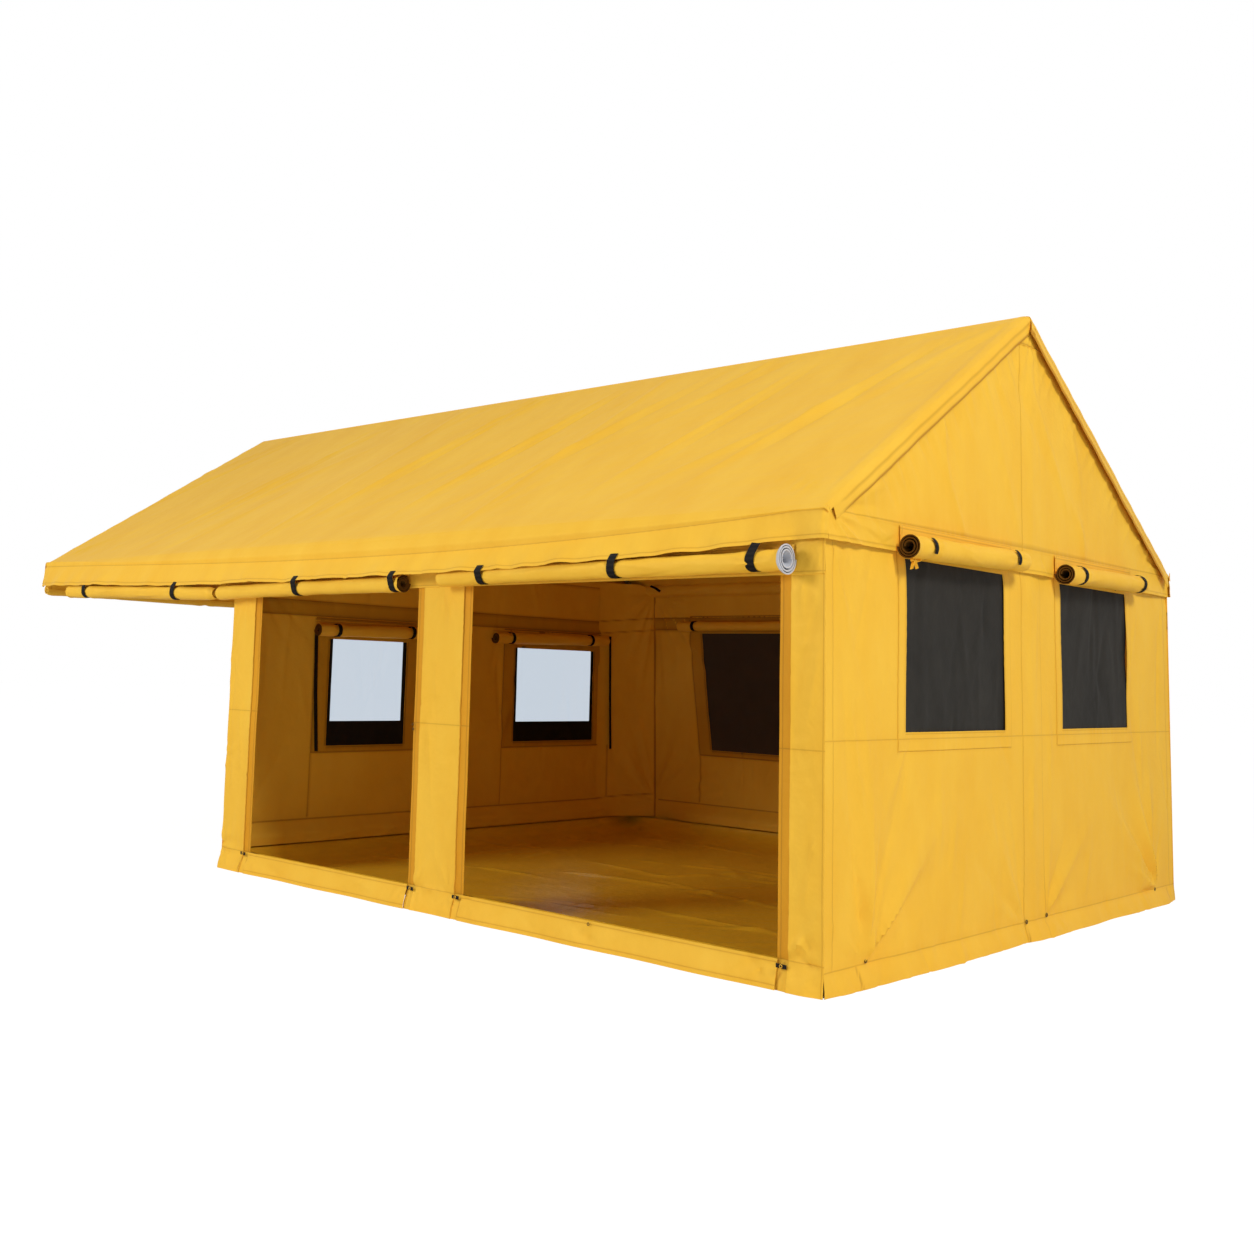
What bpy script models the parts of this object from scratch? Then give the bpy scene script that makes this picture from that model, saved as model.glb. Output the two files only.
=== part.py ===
"""Canvas frame tent: a closed room under a gable roof that runs on past one end wall as an open porch.

Lengths are in metres, +Z is up. The origin is on the ground at the centre of the room's floor.
+X runs along the ridge to the closed end, and the doors face -Y.
"""

import math

import bmesh
import bpy
import numpy as np
from mathutils import Vector

# Room, roof and porch
ROOM_LENGTH = 4.40
ROOM_DEPTH = 4.00
PORCH_REACH = 2.70
EAVE_HEIGHT = 2.00
RIDGE_HEIGHT = 3.26
EAVE_REACH = 0.03  # the roof's edge stands this far outside the front and back walls
VALANCE_DROP = 0.13
RAKE_HEM = 0.045
PANEL_SAG = 0.022  # how far the roof cloth hangs between two rafters, half way down the slope
EAVE_SAG = 0.045  # how far the seam over the valance hangs between two frames

# Cloth and the gap that touching pieces keep
CLOTH = 0.003
MESH_CLOTH = 0.002
GAP = 0.0003

# Poles and their fittings
POLE_RADIUS = 0.019
RAFTER_RADIUS = 0.016
POLE_WALL = 0.002
SLEEVE_WALL = 0.003
SLEEVE_HALF = 0.030
SOCKET_DEPTH = 0.058
DOWN_SEAT_WALL = 0.025  # solid metal between the ridge joint's sleeve and the gable pole's end
FOOT_RADIUS = 0.030
FOOT_THICKNESS = 0.006
FRAME_INSET = 0.040  # from a wall's outer face to the poles' centre line
OVERRUN = 0.010  # how far a cutter runs past what it cuts
POLE_SIDES = 12
HALF_SIDE_SHARE = 0.5  # turns a bar so that its edges don't run into another bar's edges

# Doorways and cloth posts, along X
CENTRE_POST_SHARE = -0.08  # of the half length, from the room's middle
CENTRE_POST_WIDTH = 0.438
CORNER_POST_WIDTH_RIGHT = 0.230
CORNER_POST_WIDTH_LEFT = 0.306
HEADER_HEIGHT = 0.30  # from the eave down to the doorways' head
SILL_HEIGHT = 0.125

# Tub floor
TUB_HEIGHT = 0.115

# Windows. A pair's shares are of the wall's length, read from outside: the window's centre and its width
RIGHT_WINDOW_SHARES = ((-0.205, 0.250), (0.209, 0.232))
LEFT_WINDOW_SHARES = ((-0.260, 0.230), (0.219, 0.172))
BACK_WINDOW_SHARES = ((-0.223, 0.214), (0.223, 0.214))
RIGHT_HEAD_DROP = 0.155  # from the eave down to the opening
RIGHT_WINDOW_HEIGHT = 0.785
LEFT_HEAD_DROP = 0.530
LEFT_WINDOW_HEIGHT = 0.725
BACK_HEAD_DROP = 0.360
BACK_WINDOW_HEIGHT = 0.940
MESH_LAP = 0.015

# Rolls of cloth
ROLL_CLOTH = 0.008
ROLL_PITCH = 0.0115  # from one turn to the next
ROLL_TURNS = 2.25
ROLL_POINTS_PER_TURN = 16
ROLL_TAIL = 0.020  # the cloth that leaves the roll towards its seam, above the roll's top
DOOR_ROLL_RADIUS = 0.052
DOOR_ROLL_THICK_END = 0.068
DOOR_ROLL_BELOW_HEM = 0.095  # from the valance's hem down to the roll's axis
PORCH_END_ROLL_BELOW_HEM = 0.045
PORCH_END_ROLL_INSET = 0.050
RIGHT_COVER_RADIUS = 0.058
RIGHT_COVER_RISE = 0.060  # from the opening up to the cover's axis
INNER_COVER_RADIUS = 0.045
INNER_COVER_RISE = 0.065
OUTER_COVER_SPARE = 0.105  # how far a window's cover runs past each side of its opening
INNER_COVER_SPARE = 0.200

# Webbing straps round the front rolls
STRAP_WIDTH = 0.038
STRAP_CLOTH = 0.002
STRAP_LAP = 0.022  # length sewn to the valance above its hem
# Start, end and straps of a curtain: of the half length from the room's middle, or of the porch from its far end
RIGHT_CURTAIN_SHARES = (-0.066, 0.936, (0.091, 0.500, 0.859))
LEFT_CURTAIN_SHARES = (-1.045, -0.205, (-0.640, -0.227))
PORCH_CURTAIN_SHARES = (0.220, 0.948, (0.322, 0.780))

# Sections of the roof's slope and of its length
SLOPE_SHARES = (0.25, 0.5, 0.75)
STATIONS_PER_BAY = 12

# Values that follow
HALF_LENGTH = ROOM_LENGTH / 2
HALF_DEPTH = ROOM_DEPTH / 2
ROOF_HALF = HALF_DEPTH + EAVE_REACH
ROOF_FALL = (RIDGE_HEIGHT - EAVE_HEIGHT) / ROOF_HALF
ROOF_ANGLE = math.atan(ROOF_FALL)
PORCH_END_X = -HALF_LENGTH - PORCH_REACH
VALANCE_BOTTOM = EAVE_HEIGHT - VALANCE_DROP
SLEEVE_RADIUS = POLE_RADIUS + GAP + SLEEVE_WALL
SOCKET_RADIUS = RAFTER_RADIUS + GAP + SLEEVE_WALL
SOCKET_SEAT = (RAFTER_RADIUS * (1 + math.cos(ROOF_ANGLE)) + POLE_WALL) / math.sin(ROOF_ANGLE)
SOCKET_MOUTH = SOCKET_SEAT + SOCKET_DEPTH
DOWN_SEAT = SLEEVE_RADIUS + DOWN_SEAT_WALL
DOWN_MOUTH = DOWN_SEAT + SOCKET_DEPTH
DOOR_HEIGHT = EAVE_HEIGHT - HEADER_HEIGHT
POLE_BELOW_ROOF = (CLOTH + GAP + SLEEVE_RADIUS) / math.cos(ROOF_ANGLE)
FRAME_HALF = HALF_DEPTH - FRAME_INSET
RIDGE_POLE_Z = RIDGE_HEIGHT - POLE_BELOW_ROOF
EAVE_POLE_Z = RIDGE_POLE_Z - FRAME_HALF * ROOF_FALL
CENTRE_POST_X = CENTRE_POST_SHARE * HALF_LENGTH
FRAME_X = (
    HALF_LENGTH - FRAME_INSET,
    CENTRE_POST_X,
    -HALF_LENGTH + FRAME_INSET,
    PORCH_END_X + FRAME_INSET,
)
FRAME_NAMES = ("right", "centre", "left", "porch")
RAFTER_LENGTH = FRAME_HALF / math.cos(ROOF_ANGLE)
EAVE_BREAK = HALF_DEPTH + CLOTH + GAP  # the slope is straight as far as this, past the wall's top



def windows(shares, wall_length, head_drop, height):
    """(centre, width, sill, head) of each window of a wall."""
    head = EAVE_HEIGHT - head_drop
    return [(wall_length * centre, wall_length * width, head - height, head) for centre, width in shares]


def along(shares, start, length):
    """(start, end, strap places) of a curtain whose shares are of this length from this start."""
    low, high, straps = shares
    return start + low * length, start + high * length, [start + share * length for share in straps]


RIGHT_WINDOWS = windows(RIGHT_WINDOW_SHARES, ROOM_DEPTH, RIGHT_HEAD_DROP, RIGHT_WINDOW_HEIGHT)
LEFT_WINDOWS = windows(LEFT_WINDOW_SHARES, ROOM_DEPTH, LEFT_HEAD_DROP, LEFT_WINDOW_HEIGHT)
BACK_WINDOWS = windows(BACK_WINDOW_SHARES, ROOM_LENGTH, BACK_HEAD_DROP, BACK_WINDOW_HEIGHT)
FRONT_CURTAINS = {
    "door_curtain_right": along(RIGHT_CURTAIN_SHARES, 0, HALF_LENGTH),
    "door_curtain_left": along(LEFT_CURTAIN_SHARES, 0, HALF_LENGTH),
    "porch_curtain_front": along(PORCH_CURTAIN_SHARES, PORCH_END_X, PORCH_REACH),
}

CANVAS = ("canvas", "F6BE45", 0.62, 0.0)
STEEL = ("galvanised_steel", "A9ADB0", 0.42, 0.9)
NETTING = ("netting", "35312E", 0.85, 0.0)
WEBBING = ("webbing", "1C1916", 0.75, 0.0)
FLOOR = ("coated_floor", "A8711B", 0.38, 0.0)


def linear(channel):
    """One sRGB channel, 0 to 1, as linear light."""
    return channel / 12.92 if channel <= 0.04045 else ((channel + 0.055) / 1.055) ** 2.4


def material(name, colour, roughness, metallic):
    """The Principled material of that name, made when it is first asked for."""
    found = bpy.data.materials.get(name)
    if found:
        return found
    made = bpy.data.materials.new(name)
    made.use_nodes = True
    shader = made.node_tree.nodes["Principled BSDF"]
    rgb = [linear(int(colour[i : i + 2], 16) / 255) for i in (0, 2, 4)]
    shader.inputs["Base Color"].default_value = (*rgb, 1)
    shader.inputs["Roughness"].default_value = roughness
    shader.inputs["Metallic"].default_value = metallic
    return made


def new_object(name, mesh, look=None):
    """A linked object, with its material and smooth shading where faces meet at less than 40 degrees."""
    obj = bpy.data.objects.new(name, mesh)
    bpy.context.scene.collection.objects.link(obj)
    if look:
        mesh.materials.clear()
        mesh.materials.append(material(*look))
        mesh.shade_smooth()
        mesh.set_sharp_from_angle(angle=math.radians(40))
    return obj


def place(obj, location=(0, 0, 0), turn=0):
    """Puts an object in the room: its place, and its turn about +Z in degrees."""
    obj.location = location
    obj.rotation_euler = (0, 0, math.radians(turn))
    return obj


def skin(name, loops, closed=False):
    """A closed mesh through equal loops of points: capped at both ends, or joined from last to first."""
    bm = bmesh.new()
    rings = [[bm.verts.new(point) for point in loop] for loop in loops]
    pairs = list(zip(rings, rings[1:]))
    if closed:
        pairs.append((rings[-1], rings[0]))
    else:
        bm.faces.new(rings[0])
        bm.faces.new(rings[-1])
    count = len(rings[0])
    for first, second in pairs:
        for i in range(count):
            j = (i + 1) % count
            bm.faces.new((first[i], first[j], second[j], second[i]))
    bmesh.ops.recalc_face_normals(bm, faces=bm.faces)
    mesh = bpy.data.meshes.new(name)
    bm.to_mesh(mesh)
    bm.free()
    return mesh


def circle(centre, direction, radius, turned=0):
    """Points round a centre, square to a direction. `turned` is a share of the angle from one point to the next."""
    along = Vector(direction).normalized()
    side = along.cross(Vector((1, 0, 0)))
    if side.length < 0.5:
        side = Vector((0, 0, 1))
    side.normalize()
    other = along.cross(side)
    turns = [2 * math.pi * (i + turned) / POLE_SIDES for i in range(POLE_SIDES)]
    return [Vector(centre) + radius * (math.cos(t) * side + math.sin(t) * other) for t in turns]


def rod(start, end, radius, turned=0):
    """A solid round bar between two points."""
    direction = Vector(end) - Vector(start)
    return skin("rod", [circle(point, direction, radius, turned) for point in (start, end)])


def tube(start, end, radius, wall=POLE_WALL):
    """A round pipe between two points, open at both ends."""
    direction = Vector(end) - Vector(start)
    inner = radius - wall
    ends = ((start, radius), (end, radius), (end, inner), (start, inner))
    return skin("tube", [circle(point, direction, r) for point, r in ends], closed=True)


def combined(name, added, cut=()):
    """One mesh from solids joined together, less the cutters."""
    base = new_object("work", added[0])
    helpers = []
    for operation, meshes in (("UNION", added[1:]), ("DIFFERENCE", cut)):
        for mesh in meshes:
            helper = new_object("cutter", mesh)
            helper.hide_render = True
            helper.display_type = "WIRE"
            helpers.append(helper)
            modifier = base.modifiers.new(operation.title(), "BOOLEAN")
            modifier.operation = operation
            modifier.object = helper
    bpy.context.view_layer.update()
    graph = bpy.context.evaluated_depsgraph_get()
    mesh = bpy.data.meshes.new_from_object(base.evaluated_get(graph))
    mesh.name = name
    for obj in [base, *helpers]:
        bpy.data.objects.remove(obj)
    return mesh


def prism(outline, low, high):
    """A plate whose outline is read in X and Z, from y = low to y = high."""
    return skin("prism", [[(x, y, z) for x, z in outline] for y in (low, high)])


def rectangle(x0, x1, z0, z1):
    return [(x0, z0), (x1, z0), (x1, z1), (x0, z1)]


def roof_underside(y):
    """Height at which a plate's edge at this y lies a gap below the roof cloth."""
    return RIDGE_HEIGHT - abs(y) * ROOF_FALL - (CLOTH + GAP) / math.cos(ROOF_ANGLE)


def slope_direction(side):
    """From an eave pole up its rafters, for the front (-1) or the back (+1)."""
    return Vector((0, -side * math.cos(ROOF_ANGLE), math.sin(ROOF_ANGLE)))


def socket(centre, direction, radius, seat, mouth):
    """(outside, bore) of a socket that a pole of this radius plugs into."""
    centre = Vector(centre)
    direction = Vector(direction)
    outside = rod(centre, centre + mouth * direction, radius + GAP + SLEEVE_WALL)
    bore = rod(centre + (seat - GAP) * direction, centre + (mouth + OVERRUN) * direction, radius + GAP)
    return outside, bore


def sleeve(centre):
    """(outside, bore) of a sleeve that slides on a pole along X."""
    centre = Vector(centre)
    half = Vector((SLEEVE_HALF, 0, 0))
    past = Vector((SLEEVE_HALF + OVERRUN, 0, 0))
    outside = rod(centre - half, centre + half, SLEEVE_RADIUS)
    return outside, rod(centre - past, centre + past, POLE_RADIUS + GAP)


def build_long_poles():
    """The ridge pole and the two eave poles, which run the whole length of the roof."""
    left = FRAME_X[3] - SLEEVE_HALF
    right = FRAME_X[0] + SLEEVE_HALF
    rows = (
        ("ridge_pole", 0, RIDGE_POLE_Z),
        ("eave_pole_front", -FRAME_HALF, EAVE_POLE_Z),
        ("eave_pole_back", FRAME_HALF, EAVE_POLE_Z),
    )
    for name, y, z in rows:
        new_object(name, tube((left, y, z), (right, y, z), POLE_RADIUS), STEEL)


def build_ridge_joints():
    """Sleeves on the ridge pole with a socket down each slope, and one for the gable pole where there is one."""
    meshes = {}
    for name, x in zip(FRAME_NAMES, FRAME_X):
        over_gable_pole = name in ("right", "left")
        if over_gable_pole not in meshes:
            parts = [sleeve((0, 0, 0))]
            parts += [socket((0, 0, 0), -slope_direction(s), RAFTER_RADIUS, SOCKET_SEAT, SOCKET_MOUTH) for s in (-1, 1)]
            if over_gable_pole:
                parts.append(socket((0, 0, 0), (0, 0, -1), POLE_RADIUS, DOWN_SEAT, DOWN_MOUTH))
            outsides, bores = zip(*parts)
            meshes[over_gable_pole] = combined("ridge_joint", outsides, bores)
        place(new_object("ridge_joint_" + name, meshes[over_gable_pole], STEEL), (x, 0, RIDGE_POLE_Z))


def build_rafters():
    """Two rafters in each frame, from the ridge joint's socket to the socket at the eave."""
    for side, side_name in ((-1, "front"), (1, "back")):
        up = slope_direction(side)
        mesh = tube(SOCKET_SEAT * up, (RAFTER_LENGTH - SOCKET_SEAT) * up, RAFTER_RADIUS)
        for name, x in zip(FRAME_NAMES, FRAME_X):
            rafter = new_object(f"rafter_{side_name}_{name}", mesh, STEEL)
            place(rafter, (x, side * FRAME_HALF, EAVE_POLE_Z))


def foot():
    """(outside, bore) of the flat washer under a pole."""
    outside = rod((0, 0, 0), (0, 0, FOOT_THICKNESS), FOOT_RADIUS)
    return outside, rod((0, 0, -OVERRUN), (0, 0, FOOT_THICKNESS + OVERRUN), POLE_RADIUS - POLE_WALL)


def build_posts():
    """Six posts under the eave poles. Each has its foot and its welded head, a sleeve with a rafter socket."""
    head = (0, 0, EAVE_POLE_Z)
    outsides, bores = zip(foot(), sleeve(head), socket(head, slope_direction(-1), RAFTER_RADIUS, SOCKET_SEAT, SOCKET_MOUTH))
    shaft = rod((0, 0, 0), head, POLE_RADIUS)
    hollow = rod((0, 0, -OVERRUN), (0, 0, EAVE_POLE_Z - SOCKET_SEAT), POLE_RADIUS - POLE_WALL)
    mesh = combined("post", [shaft, *outsides], [hollow, *bores])
    for side, side_name, turn in ((-1, "front", 0), (1, "back", 180)):
        for name, x in zip(FRAME_NAMES[:3], FRAME_X):
            place(new_object(f"post_{side_name}_{name}", mesh, STEEL), (x, side * FRAME_HALF, 0), turn)


def build_gable_poles():
    """A pole up the middle of each end wall, plugged into its ridge joint."""
    top = RIDGE_POLE_Z - DOWN_SEAT
    shaft = rod((0, 0, 0), (0, 0, top), POLE_RADIUS)
    hollow = rod((0, 0, -OVERRUN), (0, 0, top + OVERRUN), POLE_RADIUS - POLE_WALL)
    outside, _ = foot()
    mesh = combined("gable_pole", [shaft, outside], [hollow])
    for name, x in (("right", FRAME_X[0]), ("left", FRAME_X[2])):
        place(new_object("gable_pole_" + name, mesh, STEEL), (x, 0, 0))


def build_porch_tie_beam():
    """The bar across the porch end, with a sleeve and a rafter socket welded to each end."""
    ends = ((0, -FRAME_HALF, 0), (0, FRAME_HALF, 0))
    outsides = [rod(*ends, RAFTER_RADIUS, HALF_SIDE_SHARE)]
    bores = [rod(*ends, RAFTER_RADIUS - POLE_WALL, HALF_SIDE_SHARE)]
    for side in (-1, 1):
        centre = (0, side * FRAME_HALF, 0)
        for outside, bore in (sleeve(centre), socket(centre, slope_direction(side), RAFTER_RADIUS, SOCKET_SEAT, SOCKET_MOUTH)):
            outsides.append(outside)
            bores.append(bore)
    mesh = combined("porch_tie_beam", outsides, bores)
    place(new_object("porch_tie_beam", mesh, STEEL), (FRAME_X[3], 0, EAVE_POLE_Z))


def bay_share(x):
    """0 on a frame, rising smoothly to 1 half way to the next one."""
    for right, left in zip(FRAME_X, FRAME_X[1:]):
        if left <= x <= right:
            return math.sin(math.pi * (x - left) / (right - left)) ** 2
    return 0.0


def roof_section(x):
    """(y, z) of the roof's outer face at this x, from the front valance's hem over the ridge to the back one."""
    sag = bay_share(x)
    hem = VALANCE_BOTTOM - EAVE_SAG * sag / 2
    seam = EAVE_HEIGHT - EAVE_SAG * sag
    half = [(ROOF_HALF, hem), (ROOF_HALF, seam)]
    half += [(y, RIDGE_HEIGHT - y * ROOF_FALL) for y in (EAVE_BREAK, FRAME_HALF)]
    for share in reversed(SLOPE_SHARES):
        y = FRAME_HALF * share
        hang = PANEL_SAG * sag * math.sin(math.pi * share)
        half.append((y, RIDGE_HEIGHT - y * ROOF_FALL - hang))
    front = [(-y, z) for y, z in half]
    return [*front, (0, RIDGE_HEIGHT), *reversed(half)]


def inset_section(points, depth):
    """The section moved inwards by a depth, square to itself, with mitred corners."""
    path = np.array(points)
    steps = np.diff(path, axis=0)
    normals = np.stack([steps[:, 1], -steps[:, 0]], axis=1) / np.linalg.norm(steps, axis=1)[:, None]
    before = np.concatenate([normals[:1], normals])
    after = np.concatenate([normals, normals[-1:]])
    mitre = before + after
    mitre *= 2 / np.sum(mitre * mitre, axis=1)[:, None]
    return path + depth * mitre


def build_roof_cover():
    """The gable sheet over room and porch, sagging between the frames, with its ends turned down over the gables."""
    ends = (PORCH_END_X - GAP - CLOTH, HALF_LENGTH + GAP + CLOTH)
    stations = [ends[0], FRAME_X[3]]
    for left, right in zip(FRAME_X[:0:-1], FRAME_X[-2::-1]):
        stations += [left + (right - left) * (i + 1) / STATIONS_PER_BAY for i in range(STATIONS_PER_BAY)]
    stations.append(ends[1])
    sections = [[(x, y, z) for y, z in roof_section(x)] for x in stations]
    hems = [[(x, y, z) for y, z in inset_section(roof_section(x), RAKE_HEM)] for x in ends]
    sections = [hems[0], *sections, hems[1]]
    bm = bmesh.new()
    rows = [[bm.verts.new(point) for point in section] for section in sections]
    for first, second in zip(rows, rows[1:]):
        for i in range(len(first) - 1):
            bm.faces.new((first[i], first[i + 1], second[i + 1], second[i]))
    bmesh.ops.recalc_face_normals(bm, faces=bm.faces)
    mesh = bpy.data.meshes.new("roof_cover")
    bm.to_mesh(mesh)
    bm.free()
    top = max(mesh.polygons, key=lambda face: face.center.z)
    if top.normal.z < 0:
        mesh.flip_normals()
    cover = new_object("roof_cover", mesh, CANVAS)
    thickness = cover.modifiers.new("Cloth", "SOLIDIFY")
    thickness.thickness = CLOTH
    thickness.offset = -1
    thickness.use_even_offset = True


def gable_outline(half, bottom):
    """An end panel: a band of this half width from the bottom up, and the triangle under the roof."""
    return [
        (-half, bottom),
        (half, bottom),
        (half, roof_underside(half)),
        (0, roof_underside(0)),
        (-half, roof_underside(half)),
    ]


def cloth_plate(name, outline, windows=(), notches=(), setback=0, look=CANVAS):
    """A wall's plate, read from outside with its outer face at y = setback, less its windows and notches."""
    plate = prism(outline, setback, setback + CLOTH)
    holes = [
        rectangle(centre - width / 2, centre + width / 2, sill, head)
        for centre, width, sill, head in windows
    ]
    cutters = [prism(hole, setback - OVERRUN, setback + CLOTH + OVERRUN) for hole in [*holes, *notches]]
    mesh = combined(name, [plate], cutters) if cutters else plate
    return new_object(name, mesh, look)


def window_meshes(wall_name, windows, low, location, turn):
    """Netting that laps each opening of a wall, from y = low inwards."""
    for number, (centre, width, sill, head) in enumerate(windows, 1):
        half = width / 2 + MESH_LAP
        outline = rectangle(centre - half, centre + half, sill - MESH_LAP, head + MESH_LAP)
        net = new_object(f"window_mesh_{wall_name}_{number}", prism(outline, low, low + MESH_CLOTH), NETTING)
        place(net, location, turn)


def build_right_end():
    """The closed end: the gable panel, and the wall that hangs behind its lower band."""
    here = (HALF_LENGTH, 0, 0)
    place(cloth_plate("right_gable_panel", gable_outline(HALF_DEPTH, VALANCE_BOTTOM)), here, 90)
    setback = CLOTH + GAP
    half = HALF_DEPTH - CLOTH - GAP
    outline = rectangle(-half, half, 0, EAVE_HEIGHT)
    place(cloth_plate("right_wall", outline, RIGHT_WINDOWS, setback=setback), here, 90)
    window_meshes("right", RIGHT_WINDOWS, setback + CLOTH + GAP, here, 90)


def build_left_wall():
    """The wall between room and porch. The three long poles pass through notches in its top edge."""
    here = (-HALF_LENGTH, 0, 0)
    half = HALF_DEPTH - CLOTH - GAP
    room = SLEEVE_RADIUS + CLOTH
    notches = [rectangle(-room, room, RIDGE_POLE_Z - room, RIDGE_HEIGHT)]
    for side in (-1, 1):
        inner = side * (FRAME_HALF - room)
        outer = side * (half + OVERRUN)
        notches.append(rectangle(min(inner, outer), max(inner, outer), EAVE_POLE_Z - room, RIDGE_HEIGHT))
    wall = cloth_plate("left_gable_wall", gable_outline(half, 0), LEFT_WINDOWS, notches)
    place(wall, here, -90)
    window_meshes("left", LEFT_WINDOWS, -GAP - MESH_CLOTH, here, -90)


def build_porch_gable():
    """The panel under the roof's far end, like the closed end's gable."""
    panel = cloth_plate("porch_gable_panel", gable_outline(HALF_DEPTH, VALANCE_BOTTOM))
    place(panel, (PORCH_END_X, 0, 0), -90)


def build_back_wall():
    here = (0, HALF_DEPTH, 0)
    right = HALF_LENGTH - CLOTH - GAP
    outline = rectangle(-right, HALF_LENGTH, 0, roof_underside(HALF_DEPTH) - GAP)
    place(cloth_plate("back_wall", outline, BACK_WINDOWS), here, 180)
    window_meshes("back", BACK_WINDOWS, -GAP - MESH_CLOTH, here, 180)


def door_edges():
    """(left, right) of the left and the right doorway."""
    half = CENTRE_POST_WIDTH / 2
    left_door = (-HALF_LENGTH + CORNER_POST_WIDTH_LEFT, CENTRE_POST_X - half)
    right_door = (CENTRE_POST_X + half, HALF_LENGTH - CORNER_POST_WIDTH_RIGHT)
    return left_door, right_door


def build_front():
    """Three cloth posts under a header band, cut as one sheet, and the two sills."""
    here = (0, -HALF_DEPTH, 0)
    right = HALF_LENGTH - CLOTH - GAP
    outline = rectangle(-HALF_LENGTH, right, 0, roof_underside(HALF_DEPTH) - GAP)
    doors = [rectangle(x0, x1, -OVERRUN, DOOR_HEIGHT) for x0, x1 in door_edges()]
    place(cloth_plate("front_wall", outline, notches=doors), here)
    for name, (x0, x1) in zip(("left", "right"), door_edges()):
        outline = rectangle(x0 + GAP, x1 - GAP, 0, SILL_HEIGHT)
        place(cloth_plate("door_sill_" + name, outline), here)


def build_groundsheet():
    """The tub floor, which lies inside the feet of the poles."""
    inset = FRAME_INSET + FOOT_RADIUS + GAP
    half_x = HALF_LENGTH - inset
    half_y = HALF_DEPTH - inset
    loops = []
    for step, z in ((0, 0), (0, TUB_HEIGHT), (CLOTH, TUB_HEIGHT), (CLOTH, CLOTH)):
        loops.append([(x, y, z) for x, y in rectangle(step - half_x, half_x - step, step - half_y, half_y - step)])
    new_object("groundsheet", skin("groundsheet", loops), FLOOR)


def roll_reach(radius, turn):
    """The roll's outer radius after this many turns from its wall side."""
    return radius - ROLL_PITCH * turn


def roll_section(radius):
    """(y, z) round a rolled sheet's end: a spiral band that starts at the wall side, y = 0, with a tail upwards."""
    count = round(ROLL_TURNS * ROLL_POINTS_PER_TURN)
    turn = np.arange(count + 1) / ROLL_POINTS_PER_TURN
    angle = -2 * np.pi * turn
    reach = roll_reach(radius, turn)
    outer = np.stack([reach * np.cos(angle), reach * np.sin(angle)], axis=1)
    inner = outer * ((reach - ROLL_CLOTH) / reach)[:, None]
    tail = np.array([[radius - ROLL_CLOTH, radius + ROLL_TAIL], [radius, radius + ROLL_TAIL]])
    band = np.concatenate([tail[1:], outer, inner[::-1], tail[:1]])
    return band - np.array([radius, 0])


def roll(name, length, radius, location, turn=0, end_radius=None):
    """A rolled sheet along X. Its wall side is at the object's y = 0, and its axis height at z = 0."""
    loops = []
    for x, r in ((-length / 2, radius), (length / 2, end_radius or radius)):
        loops.append([(x, y, z) for y, z in roll_section(r)])
    return place(new_object(name, skin(name, loops), CANVAS), location, turn)


def strap(name, radius, location):
    """Webbing sewn to the valance, round the front of a roll, under it and up behind it to the header."""
    sewn_y = -ROOF_HALF - GAP - STRAP_CLOTH / 2 - location[1]
    hem = VALANCE_BOTTOM - location[2]
    away = Vector((sewn_y + radius, hem))
    spacing = GAP + STRAP_CLOTH / 2
    start = math.atan2(away.y, away.x) + math.acos((radius + spacing) / away.length)
    first = math.ceil(start * ROLL_POINTS_PER_TURN / (2 * math.pi))
    path = [(sewn_y, hem + STRAP_LAP), (sewn_y, hem)]
    for i in range(first, ROLL_POINTS_PER_TURN + 1):
        share = i / ROLL_POINTS_PER_TURN
        reach = roll_reach(radius, 1 - share) + spacing
        angle = 2 * math.pi * share
        path.append((reach * math.cos(angle) - radius, reach * math.sin(angle)))
    path.append((spacing, hem + STRAP_LAP))
    band = [*inset_section(path, -STRAP_CLOTH / 2), *inset_section(path, STRAP_CLOTH / 2)[::-1]]
    loops = [[(x, y, z) for y, z in band] for x in (-STRAP_WIDTH / 2, STRAP_WIDTH / 2)]
    place(new_object(name, skin(name, loops), WEBBING), location)


def build_front_rolls():
    """The curtains of both doors and of the porch front, hung in webbing straps under the valance."""
    behind = GAP + STRAP_CLOTH + GAP
    y = -HALF_DEPTH - behind
    z = VALANCE_BOTTOM - DOOR_ROLL_BELOW_HEM
    for name, (x0, x1, strap_places) in FRONT_CURTAINS.items():
        end = DOOR_ROLL_THICK_END if name == "door_curtain_right" else DOOR_ROLL_RADIUS
        roll(name, x1 - x0, DOOR_ROLL_RADIUS, ((x0 + x1) / 2, y, z), end_radius=end)
        for number, x in enumerate(strap_places, 1):
            share = (x + STRAP_WIDTH / 2 - x0) / (x1 - x0)
            radius = DOOR_ROLL_RADIUS + share * (end - DOOR_ROLL_RADIUS)
            strap(f"{name}_strap_{number}", radius, (x, y, z))


def build_porch_end_roll():
    """The curtain along the porch end, rolled up against the gable panel's band."""
    here = (PORCH_END_X - GAP, 0, VALANCE_BOTTOM - PORCH_END_ROLL_BELOW_HEM)
    roll("porch_curtain_end", ROOM_DEPTH - 2 * PORCH_END_ROLL_INSET, DOOR_ROLL_RADIUS, here, -90)


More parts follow.
